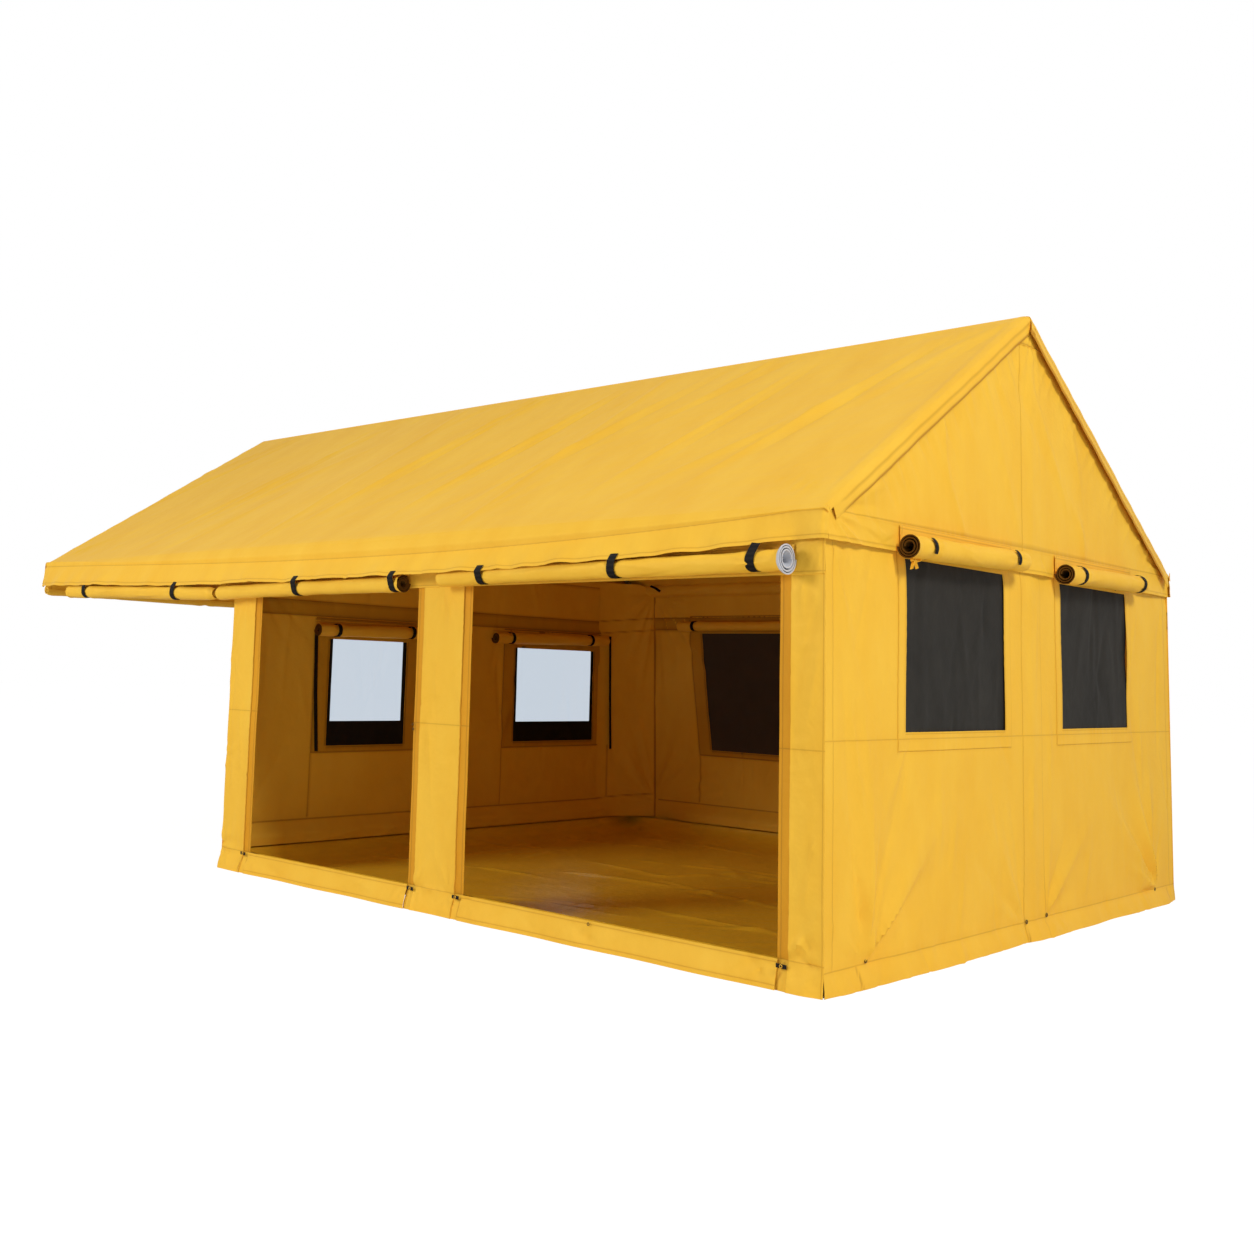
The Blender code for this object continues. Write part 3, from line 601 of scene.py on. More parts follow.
def roof_folds(x, w):
    """Heights of the wrinkles: long slanted ones, fans from the frames' ends, and small ones along the
    seams."""
    rng = np.random.default_rng(7)
    length = np.abs(w)
    lines = scattered(rng, 34, (-4.7, 2.0, -2.1, 2.1), 63, 7, (1.0, 2.3), (0.018, 0.05), (0.003, 0.008))
    lines += scattered(rng, 70, (-4.7, 2.0, -2.2, 2.2), 60, 16, (0.25, 0.8), (0.010, 0.022), (0.001, 0.003))
    for at, high in (
        (1.75, 0.012), (0.95, 0.009), (0.2, 0.010), (-0.55, 0.014), (-1.5, 0.011), (-3.1, 0.008)
    ):
        lean = 0.55 + 0.1 * math.sin(at * 5)
        lines.append((at, -0.15, at - lean, -2.05, 0.03, high, 0))
        lines.append((at + 0.12, -0.1, at - lean + 0.22, -1.7, 0.022, -0.7 * high, 0))
    for end in (-1, 1):
        lines += fans(rng, [
            ((2.15, end * 0.05), 104 * end, 168 * end, 9, (0.6, 1.9), (0.02, 0.045), (0.004, 0.009)),
            ((2.12, end * 2.26), -170 * end, -100 * end, 9, (0.5, 1.4), (0.014, 0.035), (0.004, 0.008)),
            ((-4.8, end * 2.26), -80 * end, -12 * end, 11, (0.6, 1.9), (0.014, 0.035), (0.004, 0.009)),
            ((-0.176, end * 2.2), -145 * end, -60 * end, 7, (0.4, 1.2), (0.014, 0.03), (0.002, 0.005)),
            ((-2.16, end * 2.2), -140 * end, -50 * end, 7, (0.4, 1.2), (0.014, 0.03), (0.002, 0.005)),
        ])
    fold = creases(x, w, lines) + waves(x, w, rng, 5, (0.7, 1.6), 0.0022)
    on_rafter = sum(np.exp(-(((x - frame_x) / 0.06) ** 2)) for frame_x in FRAMES_X)
    fold = np.where(fold < 0, fold * (1 - np.clip(on_rafter, 0, 1)), fold)
    fold = np.maximum(fold, -0.02) * pole_room(length)
    for frame_x, high in zip(FRAMES_X, (0.009, 0.008, 0.005, 0.006)):
        fold = fold + high * np.exp(-(((x - frame_x) / 0.026) ** 2)) * pole_room(length)
    hang = 0.022 * bay_sag(x) * np.sin(np.pi * np.clip(length / KNOT_LENGTHS[1], 0, 1)) ** 0.8
    crimp = np.sin(x * 2 * np.pi / 0.05 + 2 * np.sin(x * 6)) * np.exp(-(((length - SEAM_AT) / 0.03) ** 2))
    near_hem = ramp(length, SEAM_AT, REACH)
    flutter = waves(x, length * 0.3, rng, 7, (0.22, 0.9), 0.0065) * ramp(length, SEAM_AT, REACH - 0.02)
    valance = (-4.8, 2.1, SEAM_AT + 0.01, REACH)
    slant = creases(
        x, length, scattered(rng, 60, valance, 35, 14, (0.1, 0.35), (0.01, 0.028), (0.003, 0.007))
    )
    slack = np.clip(eave_sag(x) / 0.08, 0.25, 1)
    return fold - hang + 0.0012 * crimp + flutter + slant * near_hem * slack * 0.8


def bay_sag(x):
    """0 on a frame and 1 half way between two frames."""
    low = np.clip(np.searchsorted(-FRAMES_X, -x, side="right") - 1, 0, 2)
    share = np.clip((FRAMES_X[low] - x) / (FRAMES_X[low] - FRAMES_X[low + 1]), 0, 1)
    return np.sin(np.pi * share) ** 1.3

# %% [markdown]
# ## The roof sheet
# The grid runs along the ridge and over both slopes. Its last stations turn over the end rafter and down
# as a hem, and the porch's front corner is drawn in a little, as the photograph shows.

# %% The roof sheet
ROLL_OVER = 0.026
RAKE_HEM = 0.085
DRAWN_IN = 0.014


def build_roof():
    """Straight stations with a rounded end and a hem at both gables; each is the section moved
    inwards."""
    ends = (PORCH_X + 0.018, RIGHT_X - 0.012)
    x = grid_lines(ends[0], ends[1], 0.0185, [])
    rows = [("v", side * SEAM_AT, -FAR, FAR) for side in (-1, 1)]
    rows += [("v", side * (REACH - 0.02), -FAR, FAR) for side in (-1, 1)]
    bends = [side * KNOT_LENGTHS[2] for side in (-1, 1)]
    w = grid_lines(-REACH, REACH, 0.058, places(rows, "v") + bends + [0.0])
    valance_rows = np.linspace(KNOT_LENGTHS[1], REACH, 12)
    w = np.unique(np.round(np.concatenate([w, valance_rows, -valance_rows]), 4))
    turn = np.radians([15, 30, 45, 60, 75, 90])
    beyond = np.concatenate(
        [ROLL_OVER * np.sin(turn), ROLL_OVER + np.array([0.0, -0.001, -0.002, -0.003, -0.005])]
    )
    inset = np.concatenate(
        [ROLL_OVER * (1 - np.cos(turn)), np.array([0.036, 0.05, 0.068, 0.078, RAKE_HEM])]
    )
    count = len(beyond)
    stations = np.concatenate([np.full(count, x[0]), x, np.full(count, x[-1])])
    deep = np.concatenate([inset[::-1], np.zeros(len(x)), inset])
    shift = np.concatenate([-beyond[::-1], np.zeros(len(x)), beyond])
    weights = knot_weights(np.abs(w))
    knots = roof_knots(stations)
    y = sum(np.outer(knots[k][0], weights[:, k]) for k in range(5)) * np.sign(w)[None, :]
    z = sum(np.outer(knots[k][1], weights[:, k]) for k in range(5))
    xx, ww = np.meshgrid(stations, w, indexing="ij")
    plain = np.stack([xx + 1e-5 * np.arange(len(stations))[:, None], y, z], axis=-1)
    along = np.gradient(plain, axis=1)
    inward = np.stack([0 * xx, along[..., 2], -along[..., 1]], axis=-1)
    inward /= np.linalg.norm(inward, axis=-1, keepdims=True)
    marks, pucker = seams(xx, ww, rows)
    gather = 0.005 * np.sin(ww * 2 * np.pi / 0.034) * np.exp(-((ww / 0.07) ** 2))
    gather = gather * ramp(np.abs(xx + 1.33), 3.45, 3.53)
    ruffle = 0.0016 * np.sin(ww * 2 * np.pi / 0.075 + 2 * np.sin(ww * 5)) * (np.abs(shift)[:, None] > 0)
    height = roof_folds(xx, ww) + pucker + gather + ruffle
    wide = np.where(ww > 0, 1.4, 1.0)
    points = plain + inward * (deep[:, None, None] * wide[..., None] - height[..., None])
    near_eave = ramp(KNOT_LENGTHS[1] - np.abs(ww), 0.05, 0.3)
    stand_off = ramp(deep, ROLL_OVER * 0.5, RAKE_HEM)[:, None] * np.where(ww > 0, 0.022, 0.010 * near_eave)
    points[..., 0] = xx + shift[:, None] + np.sign(shift)[:, None] * (stand_off + 0.4 * ruffle)
    tip = ramp(-xx, 3.6, 4.9) * ramp(-ww, 0.5, KNOT_LENGTHS[1])
    points[..., 0] += DRAWN_IN * tip - 0.02 * ramp(-xx, 3.6, 4.9) * (1 - ramp(np.abs(ww), 0.0, 1.2))
    middle = (ww[:-1, :-1] + ww[1:, 1:]) / 2
    keep = ~((np.maximum(deep[:-1], deep[1:])[:, None] > 0.034) & (np.abs(middle) > KNOT_LENGTHS[1] - 0.03))
    uv = np.stack([xx + shift[:, None] * 1.5, ww], axis=-1)
    # Two dark lines along the rake hem are painted: shade at its fold and a shadow under its lower edge.
    rake_hem_shadow_lines = 1.7 * ramp(deep, 0.066, 0.077)[:, None] + 0.9 * np.exp(
        -(((deep - 0.036) / 0.006) ** 2)
    )[:, None]
    rake_hem_shadow_lines = rake_hem_shadow_lines * ramp(KNOT_LENGTHS[1] - np.abs(ww), 0.03, 0.16)
    return shell("roof_sheet", points, uv, CANVAS, keep, np.maximum(marks, rake_hem_shadow_lines))


roof = build_roof()
roof_poles = ["ridge_pole", "eave_pole_front", "eave_pole_back"]
hang(roof, "roof_cover", (7.3, 2 * REACH + 0.1), roof_poles, "stretched")
print("roof", len(roof.data.polygons), "faces", "reach", round(REACH, 3))

# %% [markdown]
# ## Walls
# A wall is a flat sheet with windows left out of the grid. Its outer face is given by three things: a
# place on the wall, laps of doubled cloth where patches and tapes are sewn on, and the creases. Slits and
# pulled threads are drawn as narrow grooves with a dark line in the stitch tone, which is painted shadow
# between their edges.


# %% Wall builder
def window_rows(box, margin):
    """Stitches round a window's patch: box is (u0, u1, v0, v1), margin is (sides, below, above)."""
    u0, u1, v0, v1 = box
    side, below, above = margin
    rows = [("u", u0 - side, v0 - below, v1 + above), ("u", u1 + side, v0 - below, v1 + above)]
    rows += [("v", v0 - below, u0 - side, u1 + side), ("v", v1 + above, u0 - side, u1 + side)]
    rows += [("u", u0 - 0.008, v0, v1), ("u", u1 + 0.008, v0, v1), ("v", v0 - 0.008, u0, u1)]
    return rows


PATCH_LIFT = 0.0034


def patches(u, v, boxes, margin):
    """Height of the doubled cloth round the windows."""
    side, below, above = margin
    total = 0
    for u0, u1, v0, v1 in boxes:
        total = total + lap(u, u0 - side, u1 + side) * lap(v, v0 - below, v1 + above)
    return PATCH_LIFT * np.clip(total, 0, 1)


def off_line(u, v, line):
    """Distance of each point from a short line (u0, v0, u1, v1)."""
    u0, v0, u1, v1 = line
    du, dv = u1 - u0, v1 - v0
    along = np.clip(((u - u0) * du + (v - v0) * dv) / (du * du + dv * dv), 0, 1)
    return np.hypot(u - u0 - along * du, v - v0 - along * dv)

# %% [markdown]
# ## One builder for every wall
# Walls, sills, skirting, window sheets and flaps differ in place and height only. Each hands over those
# two functions, and the builder adds pucker, slits, tapes and the windows' holes.


# %% One builder for every wall
def wall(
    name, us, vs, place, height, rows, holes=(), top=None, material=CANVAS, flip=False, thickness=CLOTH,
    tapes=(), slits=(), second=None, bold=1.0, sides_lined=(1, 1),
):
    """A wall's shell. place(u, v, h) gives points, height(u, v) stands out from the wall, holes are left
    out, tapes are boxes of the second material, and slits are grooves with a dark line of painted shadow
    along them."""
    u, v = np.meshgrid(us, vs, indexing="ij")
    shown = v if top is None else top(u, v)
    marks, pucker = seams(u, shown, rows, 0.0028 * bold)
    marks = marks * bold
    slit_groove_and_shadow = np.zeros_like(marks)
    for line in slits:
        slit_groove_and_shadow = np.maximum(slit_groove_and_shadow, np.exp(-((off_line(u, shown, line) / 0.005) ** 2)))
    points = place(u, shown, height(u, shown) + pucker - 0.003 * slit_groove_and_shadow)
    mid_u, mid_v = (us[:-1] + us[1:]) / 2, (vs[:-1] + vs[1:]) / 2

    def inside(box):
        """Which quads have their middles inside a box."""
        return np.outer((mid_u > box[0]) & (mid_u < box[1]), (mid_v > box[2]) & (mid_v < box[3]))

    keep = ~np.any([inside(box) for box in holes], axis=0) if len(holes) else None
    tape = np.any([inside(box) for box in tapes], axis=0) if len(tapes) else None
    uv = np.stack([u, shown], axis=-1)
    # The dark line in each slit is painted shadow.
    stitch_and_shade = np.maximum(marks, 1.6 * slit_groove_and_shadow)
    return shell(name, points, uv, material, keep, stitch_and_shade, thickness, flip, tape, second, sides_lined)

# %% [markdown]
# ## Windows from the model
# The netting laps its opening by 15 mm, so the openings are worked out from the netting's boxes, and the
# holes stay where the measured windows are.


# %% Windows from the model
def node_box(node, across, up=2):
    """(low, high, bottom, top) of a CAD node along one horizontal axis and Z."""
    low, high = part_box(node)
    return low[across], high[across], low[up], high[up]


NET_LAP = 0.015


def opening(node, across):
    """The window opening that a netting node laps."""
    u0, u1, v0, v1 = node_box(node, across)
    return u0 + NET_LAP, u1 - NET_LAP, v0 + NET_LAP, v1 - NET_LAP


def edges(boxes, first):
    """The low and high sides of the windows along one axis: first is 0 along the wall and 2 up it."""
    return [value for box in boxes for value in box[first : first + 2]]


RIGHT_WINDOWS = [opening(f"window_mesh_right_{i}", 1) for i in (1, 2)]
LEFT_WINDOWS = [opening(f"window_mesh_left_{i}", 1) for i in (1, 2)]
BACK_WINDOWS = [opening(f"window_mesh_back_{i}", 0) for i in (1, 2)]


def flare(v, top, reach):
    """How far the mud flap stands out: nothing above its seam, most at the ground."""
    return reach * (1 - ramp(v, 0.0, top))


# %% [markdown]
# ## The closed end
# The gable and the wall below it are two sheets. The gable runs on down as a band whose lower edge hangs
# free over the wall, so a thin shadow lies under it. A strip up the middle hides the gable pole. The
# gable is sewn to the rakes, so short creases run down from them.

# %% Right gable and wall
RIGHT_MARGIN = (0.070, 0.085, 0.145)
POLE_STRIP = (-0.117, 0.114)
WALL_HALF = 1.9955
CLEAR_OF_ROOF = 0.0045
COVER_SPANS = {"window_cover_right_1": (-1.396, -0.257), "window_cover_right_2": (0.276, 1.352)}
PEG_Y, PEG_Z = 1.68, 0.10
CROSS_SEAM = 1.03


def right_place(u, v, h):
    """The closed end's outside: u along Y, v up, and h outwards along X."""
    return np.stack([RIGHT_X + h, u, v], axis=-1)


def gable_top(u, v):
    """Maps a share from 0 to 2 on to heights: the band up to 1, the triangle under the roof from 1 to
    2."""
    roof = RIDGE_Z - np.abs(u) * FALL - CLEAR_OF_ROOF
    seam = np.minimum(EAVE_Z, roof)
    return HEM_Z + np.clip(v, 0, 1) * (seam - HEM_Z) + np.clip(v - 1, 0, 1) * (roof - seam)

# %% [markdown]
# ## Creases of the gable
# The gathered rakes send short creases down, and the corners send long fans inwards. The free lower band
# stands off the wall, except where the window rolls' sewn edges hold it.


# %% Height of the gable
def rake_creases(rng):
    """Short creases that leave both rakes at a steep angle, as the sewn edge is gathered a little."""
    lines = []
    for u in np.arange(-1.85, -0.08, 0.085):
        start = (u, RIDGE_Z - abs(u) * FALL - 0.02)
        turn = math.radians(-50 + rng.normal(0, 8))
        reach = rng.uniform(0.25, 0.55)
        end = (start[0] + reach * math.cos(turn), start[1] + reach * math.sin(turn))
        wide = rng.uniform(0.018, 0.032)
        high = rng.uniform(0.005, 0.009) * rng.choice([-1, 1])
        lines.append((*start, *end, wide, high, 1))
        if rng.uniform() < 0.6:
            lines.append((-start[0], start[1], -end[0], end[1], 0.022, rng.uniform(0.003, 0.006), 1))
    return lines


def right_gable_height(u, v):
    """The gable's creases away from the rakes, plus the ripple of the sewn edge, the strip over the pole,
    the free lower edge that stands off the wall, and the laps."""
    rng = np.random.default_rng(21)
    lines = rake_creases(rng)
    lines += scattered(rng, 16, (-1.6, 1.6, 2.1, 2.9), 125, 18, (0.4, 1.1), (0.03, 0.07), (0.003, 0.007))
    lines += fans(rng, [
        ((-1.95, 2.03), 2, 48, 8, (0.5, 1.6), (0.02, 0.045), (0.006, 0.012)),
        ((1.95, 2.03), 132, 176, 8, (0.5, 1.4), (0.02, 0.04), (0.005, 0.01)),
        ((-1.97, 1.99), -60, -8, 6, (0.2, 0.8), (0.014, 0.03), (0.007, 0.012)),
        ((0.0, 3.2), -125, -55, 7, (0.3, 0.8), (0.012, 0.025), (0.002, 0.005)),
    ])
    lines += scattered(rng, 26, (-1.95, 1.95, 1.9, 1.98), -25, 25, (0.1, 0.3), (0.01, 0.02), (0.001, 0.003))
    depth = RIDGE_Z - np.abs(u) * FALL - v
    ripple = 0.0016 * np.exp(-depth / 0.06) * np.sin(u * 2 * np.pi / 0.062 + 2 * np.sin(u * 7))
    strip = 0.0016 * lap(u, *POLE_STRIP) + 0.005 * np.exp(-((u / 0.045) ** 2)) * ramp(v, 1.9, 2.1)
    free = 0.007 * (1 - ramp(v, HEM_Z, HEM_Z + 0.09)) * (1 + 0.5 * np.sin(u * 5.1) + 0.4 * np.sin(u * 12.3))
    free = free * (1 - 0.95 * lap(u, -1.5, -0.14, 0.08)) * (1 - 0.95 * lap(u, 0.2, 1.46, 0.08))
    room = ramp(depth, 0.05, 0.14)
    for low, high in COVER_SPANS.values():
        room = room * (1 - 0.9 * lap(u, low, high, 0.08) * lap(v, 1.5, 2.0, 0.04))
    sewn = 0.001 * lap(v, EAVE_Z - 0.012, EAVE_Z + 0.012) + patches(u, v, RIGHT_WINDOWS, RIGHT_MARGIN)
    return (
        creases(u, v, lines) + waves(u, v, rng, 5, (0.5, 1.4), 0.002)
    ) * room + ripple + strip + free + sewn

# %% [markdown]
# ## The gable's sheet
# Its grid has close rows at each line of stitches. The upper half narrows to the ridge, because the rows
# are shares of the height under the roof.

# %% The gable's sheet
band_rows = [("u", POLE_STRIP[0], 0, FAR), ("v", EAVE_Z, -FAR, FAR), ("v", HEM_Z + 0.018, -FAR, FAR)]
flap_rows = [row for box in RIGHT_WINDOWS for row in window_rows(box, RIGHT_MARGIN)[:4]]
us = grid_lines(-1.998, 1.998, 0.0115, places(band_rows + flap_rows, "u"))
tall = np.linspace(0, 1, 44)
vs = np.unique(
    np.concatenate([[0, 0.06, 0.12, 0.138, 0.16], np.linspace(0.2, 1, 19), [0.905, 0.915, 0.93], 1 + tall])
)
right_gable = wall(
    "gable_right", us, vs, right_place, right_gable_height, band_rows + flap_rows, top=gable_top
)
hang(right_gable, "right_gable_panel", (4.0, 1.42), ["rafter_front_right", "rafter_back_right"])

# %% [markdown]
# ## Patch at the peak
# A small triangle of doubled cloth, as sewn where a ridge pole presses on the gable. It lies on the
# gable's own folds, so it reads their height and adds a thickness.

# %% Patch at the peak
PEAK = (3.082, 3.215)


def peak_place(share, v, h):
    """The patch narrows upwards as the gable does."""
    return right_place(share * (RIDGE_Z - 0.02 - v) / FALL, v, h)


def peak_height(share, v):
    """It lies on the gable's own folds."""
    return right_gable_height(share * (RIDGE_Z - 0.02 - v) / FALL, v) + 0.0025


peak_lines = grid_lines(*PEAK, 0.012, [PEAK[0] + 0.008])
peak = wall(
    "gable_peak", np.linspace(-1, 1, 41), peak_lines, peak_place, peak_height,
    [("v", PEAK[0] + 0.008, -FAR, FAR)], bold=1.5
)
hang(peak, None, (0.52, 0.14), ["gable_right"])

# %% [markdown]
# ## Creases of the lower wall
# Two pegs hold the wall's foot, and most folds spread up from them. The mud flap swings out below the
# seam, and the wall stays a few millimetres behind the gable's band.


# %% Height of the lower wall
def right_wall_height(u, v):
    """The lower wall's height: fans from its two pegs, from the pole's foot and from its corners, laps
    round the windows and under the pole strip, and the mud flap, all held back where the gable hangs over
    it."""
    rng = np.random.default_rng(5)
    lines = scattered(rng, 26, (-1.9, 1.9, 0.15, 1.8), 92, 16, (0.3, 0.9), (0.018, 0.045), (0.002, 0.005))
    lines += fans(rng, [
        ((-PEG_Y, PEG_Z), 22, 100, 7, (0.7, 1.9), (0.025, 0.05), (0.015, 0.024)),
        ((-PEG_Y, PEG_Z), 10, 165, 9, (0.2, 0.6), (0.012, 0.025), (0.006, 0.011)),
        ((PEG_Y, PEG_Z), 88, 160, 8, (0.7, 1.7), (0.022, 0.045), (0.012, 0.020)),
        ((PEG_Y, PEG_Z), 70, 178, 9, (0.2, 0.7), (0.012, 0.028), (0.009, 0.015)),
        ((-PEG_Y, PEG_Z), 28, 84, 4, (1.0, 2.0), (0.05, 0.09), (0.016, 0.028)),
        ((PEG_Y, PEG_Z), 98, 150, 4, (0.8, 1.7), (0.045, 0.08), (0.012, 0.022)),
        ((0.115, 0.09), 15, 80, 4, (0.6, 1.5), (0.025, 0.05), (0.008, 0.014)),
        ((-0.117, 0.09), 100, 165, 4, (0.6, 1.5), (0.025, 0.05), (0.008, 0.014)),
        ((-1.3, 1.0), -150, -100, 3, (0.3, 0.7), (0.02, 0.04), (0.003, 0.006)),
        ((-1.93, 1.84), -80, -15, 8, (0.2, 0.9), (0.014, 0.03), (0.004, 0.008)),
        ((1.9, 1.8), -170, -95, 6, (0.2, 0.7), (0.012, 0.03), (0.002, 0.005)),
    ])
    skirt_lines = scattered(
        rng, 34, (-1.95, 1.95, 0.0, 0.1), 25, 40, (0.08, 0.3), (0.01, 0.03), (0.002, 0.005)
    )
    edge = ramp(WALL_HALF - np.abs(u), 0.0, 0.07)
    at_eyelet = np.exp(-(((np.abs(u) - PEG_Y) ** 2 + (v - PEG_Z) ** 2) / 0.035**2))
    total = creases(u, v, lines) * edge * (1 - 0.85 * at_eyelet) + waves(u, v, rng, 6, (0.4, 1.3), 0.0018)
    total = total + creases(u, v, skirt_lines) * (1 - ramp(v, 0.06, 0.14))
    total = total + patches(u, v, RIGHT_WINDOWS, RIGHT_MARGIN) + 0.0012 * lap(v, 0, CROSS_SEAM)
    total = total + 0.0016 * lap(u, *POLE_STRIP) + 0.005 * np.exp(-((u / 0.045) ** 2))
    total = total + 0.0016 * lap(v, 0, 0.095)
    at_corner = 0.25 + 0.75 * ramp(WALL_HALF - np.abs(u), 0.0, 0.2)
    skirt = flare(v, 0.105, 0.030) * (1 + 0.18 * np.sin(u * 4.7) + 0.12 * np.sin(u * 11.0)) * at_corner
    behind = -0.008 - 0.004 * ramp(v, 1.75, HEM_Z)
    held = 0.35 + 0.65 * ramp(1.99 - v, 0.0, 0.15)
    return np.maximum(total * held, -0.009) + skirt + behind - 0.003 * ramp(v, 1.8, 1.86)

# %% [markdown]
# ## The lower wall's sheet
# One sheet with two openings. The seam across it, the strip over the pole and the corner seams are rows
# of stitches, and three short slits show where the mud flap is cut.

# %% The lower wall's sheet
rows = [row for box in RIGHT_WINDOWS for row in window_rows(box, RIGHT_MARGIN)]
rows += [("u", at, 0, FAR) for at in POLE_STRIP] + [("v", CROSS_SEAM, -FAR, FAR), ("v", 0.098, -FAR, FAR)]
rows += [("u", -1.93, 0.1, 1.87), ("u", 1.93, 0.1, 1.87)]
wall_slits = [(-1.745, 0.09, -1.725, 0.0), (1.865, 0.08, 1.89, 0.0), (-0.11, 0.09, -0.10, 0.0)]
us = grid_lines(-WALL_HALF, WALL_HALF, 0.0125, places(rows, "u") + edges(RIGHT_WINDOWS, 0))
vs = grid_lines(0.0, 1.99, 0.026, places(rows, "v") + edges(RIGHT_WINDOWS, 2))
right_wall = wall(
    "wall_right", us, vs, right_place, right_wall_height, rows, RIGHT_WINDOWS, slits=wall_slits
)
hang(right_wall, "right_wall", (4.0, 2.02), ["rafter_front_right", "rafter_back_right"])
print("closed end ready")

# %% [markdown]
# ## The front
# One sheet makes the three cloth posts and the header over the doorways. Beside each doorway runs a strip
# that the door is fastened to, set back a little; its darker, duller tone is painted shade.

# %% Front wall and sills
CORNER_LAP = 0.0033
SILLS = [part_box("door_sill_" + side) for side in ("left", "right")]
LEFT_DOOR, RIGHT_DOOR = [(low[0], high[0]) for low, high in SILLS]
DOOR_TOP = 1.725
TAPE_WIDTH = 0.058
SILL_TOP = 0.125


def front_place(u, v, h):
    """The front's outside: u along X, v up, and h outwards, towards the camera."""
    return np.stack([u, FRONT_Y - h, v], axis=-1)


def front_flare(u, v):
    """How far the front's mud flap stands out: the same for the posts and the sills."""
    return flare(v, 0.13, 0.026) * (1 + 0.2 * np.sin(u * 9.0)) * (
        0.25 + 0.75 * ramp(RIGHT_X - u, 0.0, 0.12)
    )

# %% [markdown]
# ## Creases of the posts
# Each cloth post is pulled upright, so its creases run up, with fans at its head and at the pins by its
# foot. The tapes are stiffer and stay nearly flat.


# %% Height of the front
def front_height(u, v):
    """The front's height: for each cloth post its upright creases and the fans at its head and foot, then
    the tapes set back beside the doorways, the header's lap, and the mud flap."""
    rng = np.random.default_rng(11)
    lines = []
    for low, high in ((LEFT_X, LEFT_DOOR[0]), (LEFT_DOOR[1], RIGHT_DOOR[0]), (RIGHT_DOOR[1], RIGHT_X)):
        middle, half = (low + high) / 2, (high - low) / 2
        lines += scattered(
            rng, 9, (low, high, 0.25, 1.7), 90, 9, (0.3, 0.9), (0.012, 0.026), (0.0015, 0.004)
        )
        lines += scattered(
            rng, 14, (low, high, 0.3, 1.7), 30, 30, (0.06, 0.3), (0.008, 0.02), (0.0015, 0.0035)
        )
        for side in (-1, 1):
            at = (middle + side * half * 0.6, 0.11)
            lines += fan(rng, at, 40, 140, 7, (0.15, 0.5), (0.010, 0.022), (0.003, 0.006))
            lines += fan(rng, at, -150, -30, 5, (0.06, 0.16), (0.008, 0.016), (0.004, 0.008))
        lines += fan(rng, (middle, 1.72), -140, -40, 7, (0.1, 0.4), (0.008, 0.018), (0.003, 0.006))
        lines += scattered(
            rng, 7, (low, high, 0.10, 0.22), 12, 25, (0.08, 0.25), (0.008, 0.02), (0.003, 0.006)
        )
    lines += scattered(
        rng, 30, (LEFT_X, RIGHT_X, 1.72, 1.86), 30, 40, (0.08, 0.3), (0.008, 0.02), (0.001, 0.003)
    )
    lines += fan(rng, (RIGHT_X - 0.02, 1.87), -172, -95, 8, (0.12, 0.5), (0.01, 0.022), (0.007, 0.012))
    total = creases(u, v, lines)
    for low, high in (LEFT_DOOR, RIGHT_DOOR):
        total = total * (1 - 0.8 * lap(u, low - TAPE_WIDTH, high + TAPE_WIDTH, 0.03) * lap(v, -1, DOOR_TOP))
    total = total * ramp(RIGHT_X - u, 0.0, 0.05) + waves(u, v, rng, 5, (0.3, 0.9), 0.0012)
    for low, high in (LEFT_DOOR, RIGHT_DOOR):
        total = total - 0.007 * lap(u, low - TAPE_WIDTH, high + TAPE_WIDTH) * (1 - lap(v, DOOR_TOP, 3))
        for edge in (low - TAPE_WIDTH, high + TAPE_WIDTH):
            total = total + 0.003 * np.exp(-(((u - edge) / 0.01) ** 2)) * (1 - lap(v, DOOR_TOP, 3))
    header = 0.005 * lap(v, DOOR_TOP, 3)
    total = np.maximum(total, -0.012) * ramp(2.01 - v, 0, 0.1) + header + front_flare(u, v)
    return total - 0.001 - 0.005 * ramp(v, 1.9, 2.0)

# %% [markdown]
# ## The front's sheet
# The doorways are holes in one grid. The strips beside them are quads of a second, darker material
# that paints their shade, so no second sheet is needed.

# %% The front's sheet
rows = [("v", DOOR_TOP + 0.012, -FAR, FAR), ("v", 0.99, -FAR, FAR), ("v", SILL_TOP, -FAR, FAR)]
tapes = []
for low, high in (LEFT_DOOR, RIGHT_DOOR):
    rows += [("u", low - TAPE_WIDTH, 0, DOOR_TOP), ("u", high + TAPE_WIDTH, 0, DOOR_TOP)]
    rows += [("u", low - 0.016, 0, DOOR_TOP), ("u", high + 0.016, 0, DOOR_TOP)]
    tapes += [(low - TAPE_WIDTH, low, SILL_TOP, DOOR_TOP), (high, high + TAPE_WIDTH, SILL_TOP, DOOR_TOP)]
rows += [("u", RIGHT_X - 0.012, 0, HEM_Z)]
front_slits = [
    (2.004, 0.10, 1.975, 0.03), (1.975, 0.03, 1.98, 0.0), (-0.39, 0.11, -0.42, 0.03),
    (-1.95, 0.11, -1.97, 0.0)
]
holes = [(low, high, -1, DOOR_TOP) for low, high in (LEFT_DOOR, RIGHT_DOOR)]
us = grid_lines(LEFT_X, RIGHT_X - CORNER_LAP, 0.014, places(rows, "u") + [*LEFT_DOOR, *RIGHT_DOOR])
vs = grid_lines(0.0, 2.005, 0.02, places(rows, "v") + [DOOR_TOP])
front_wall = wall(
    "wall_front", us, vs, front_place, front_height, rows, holes, tapes=tapes, slits=front_slits
)
hang(front_wall, "front_wall", (4.4, 2.02), ["eave_pole_front"])

# %% [markdown]
# ## Mud flaps of the doorways
# Across each doorway the mud flap is a strip of its own. It shares the front's flare, so the flap runs on
# from post to post.


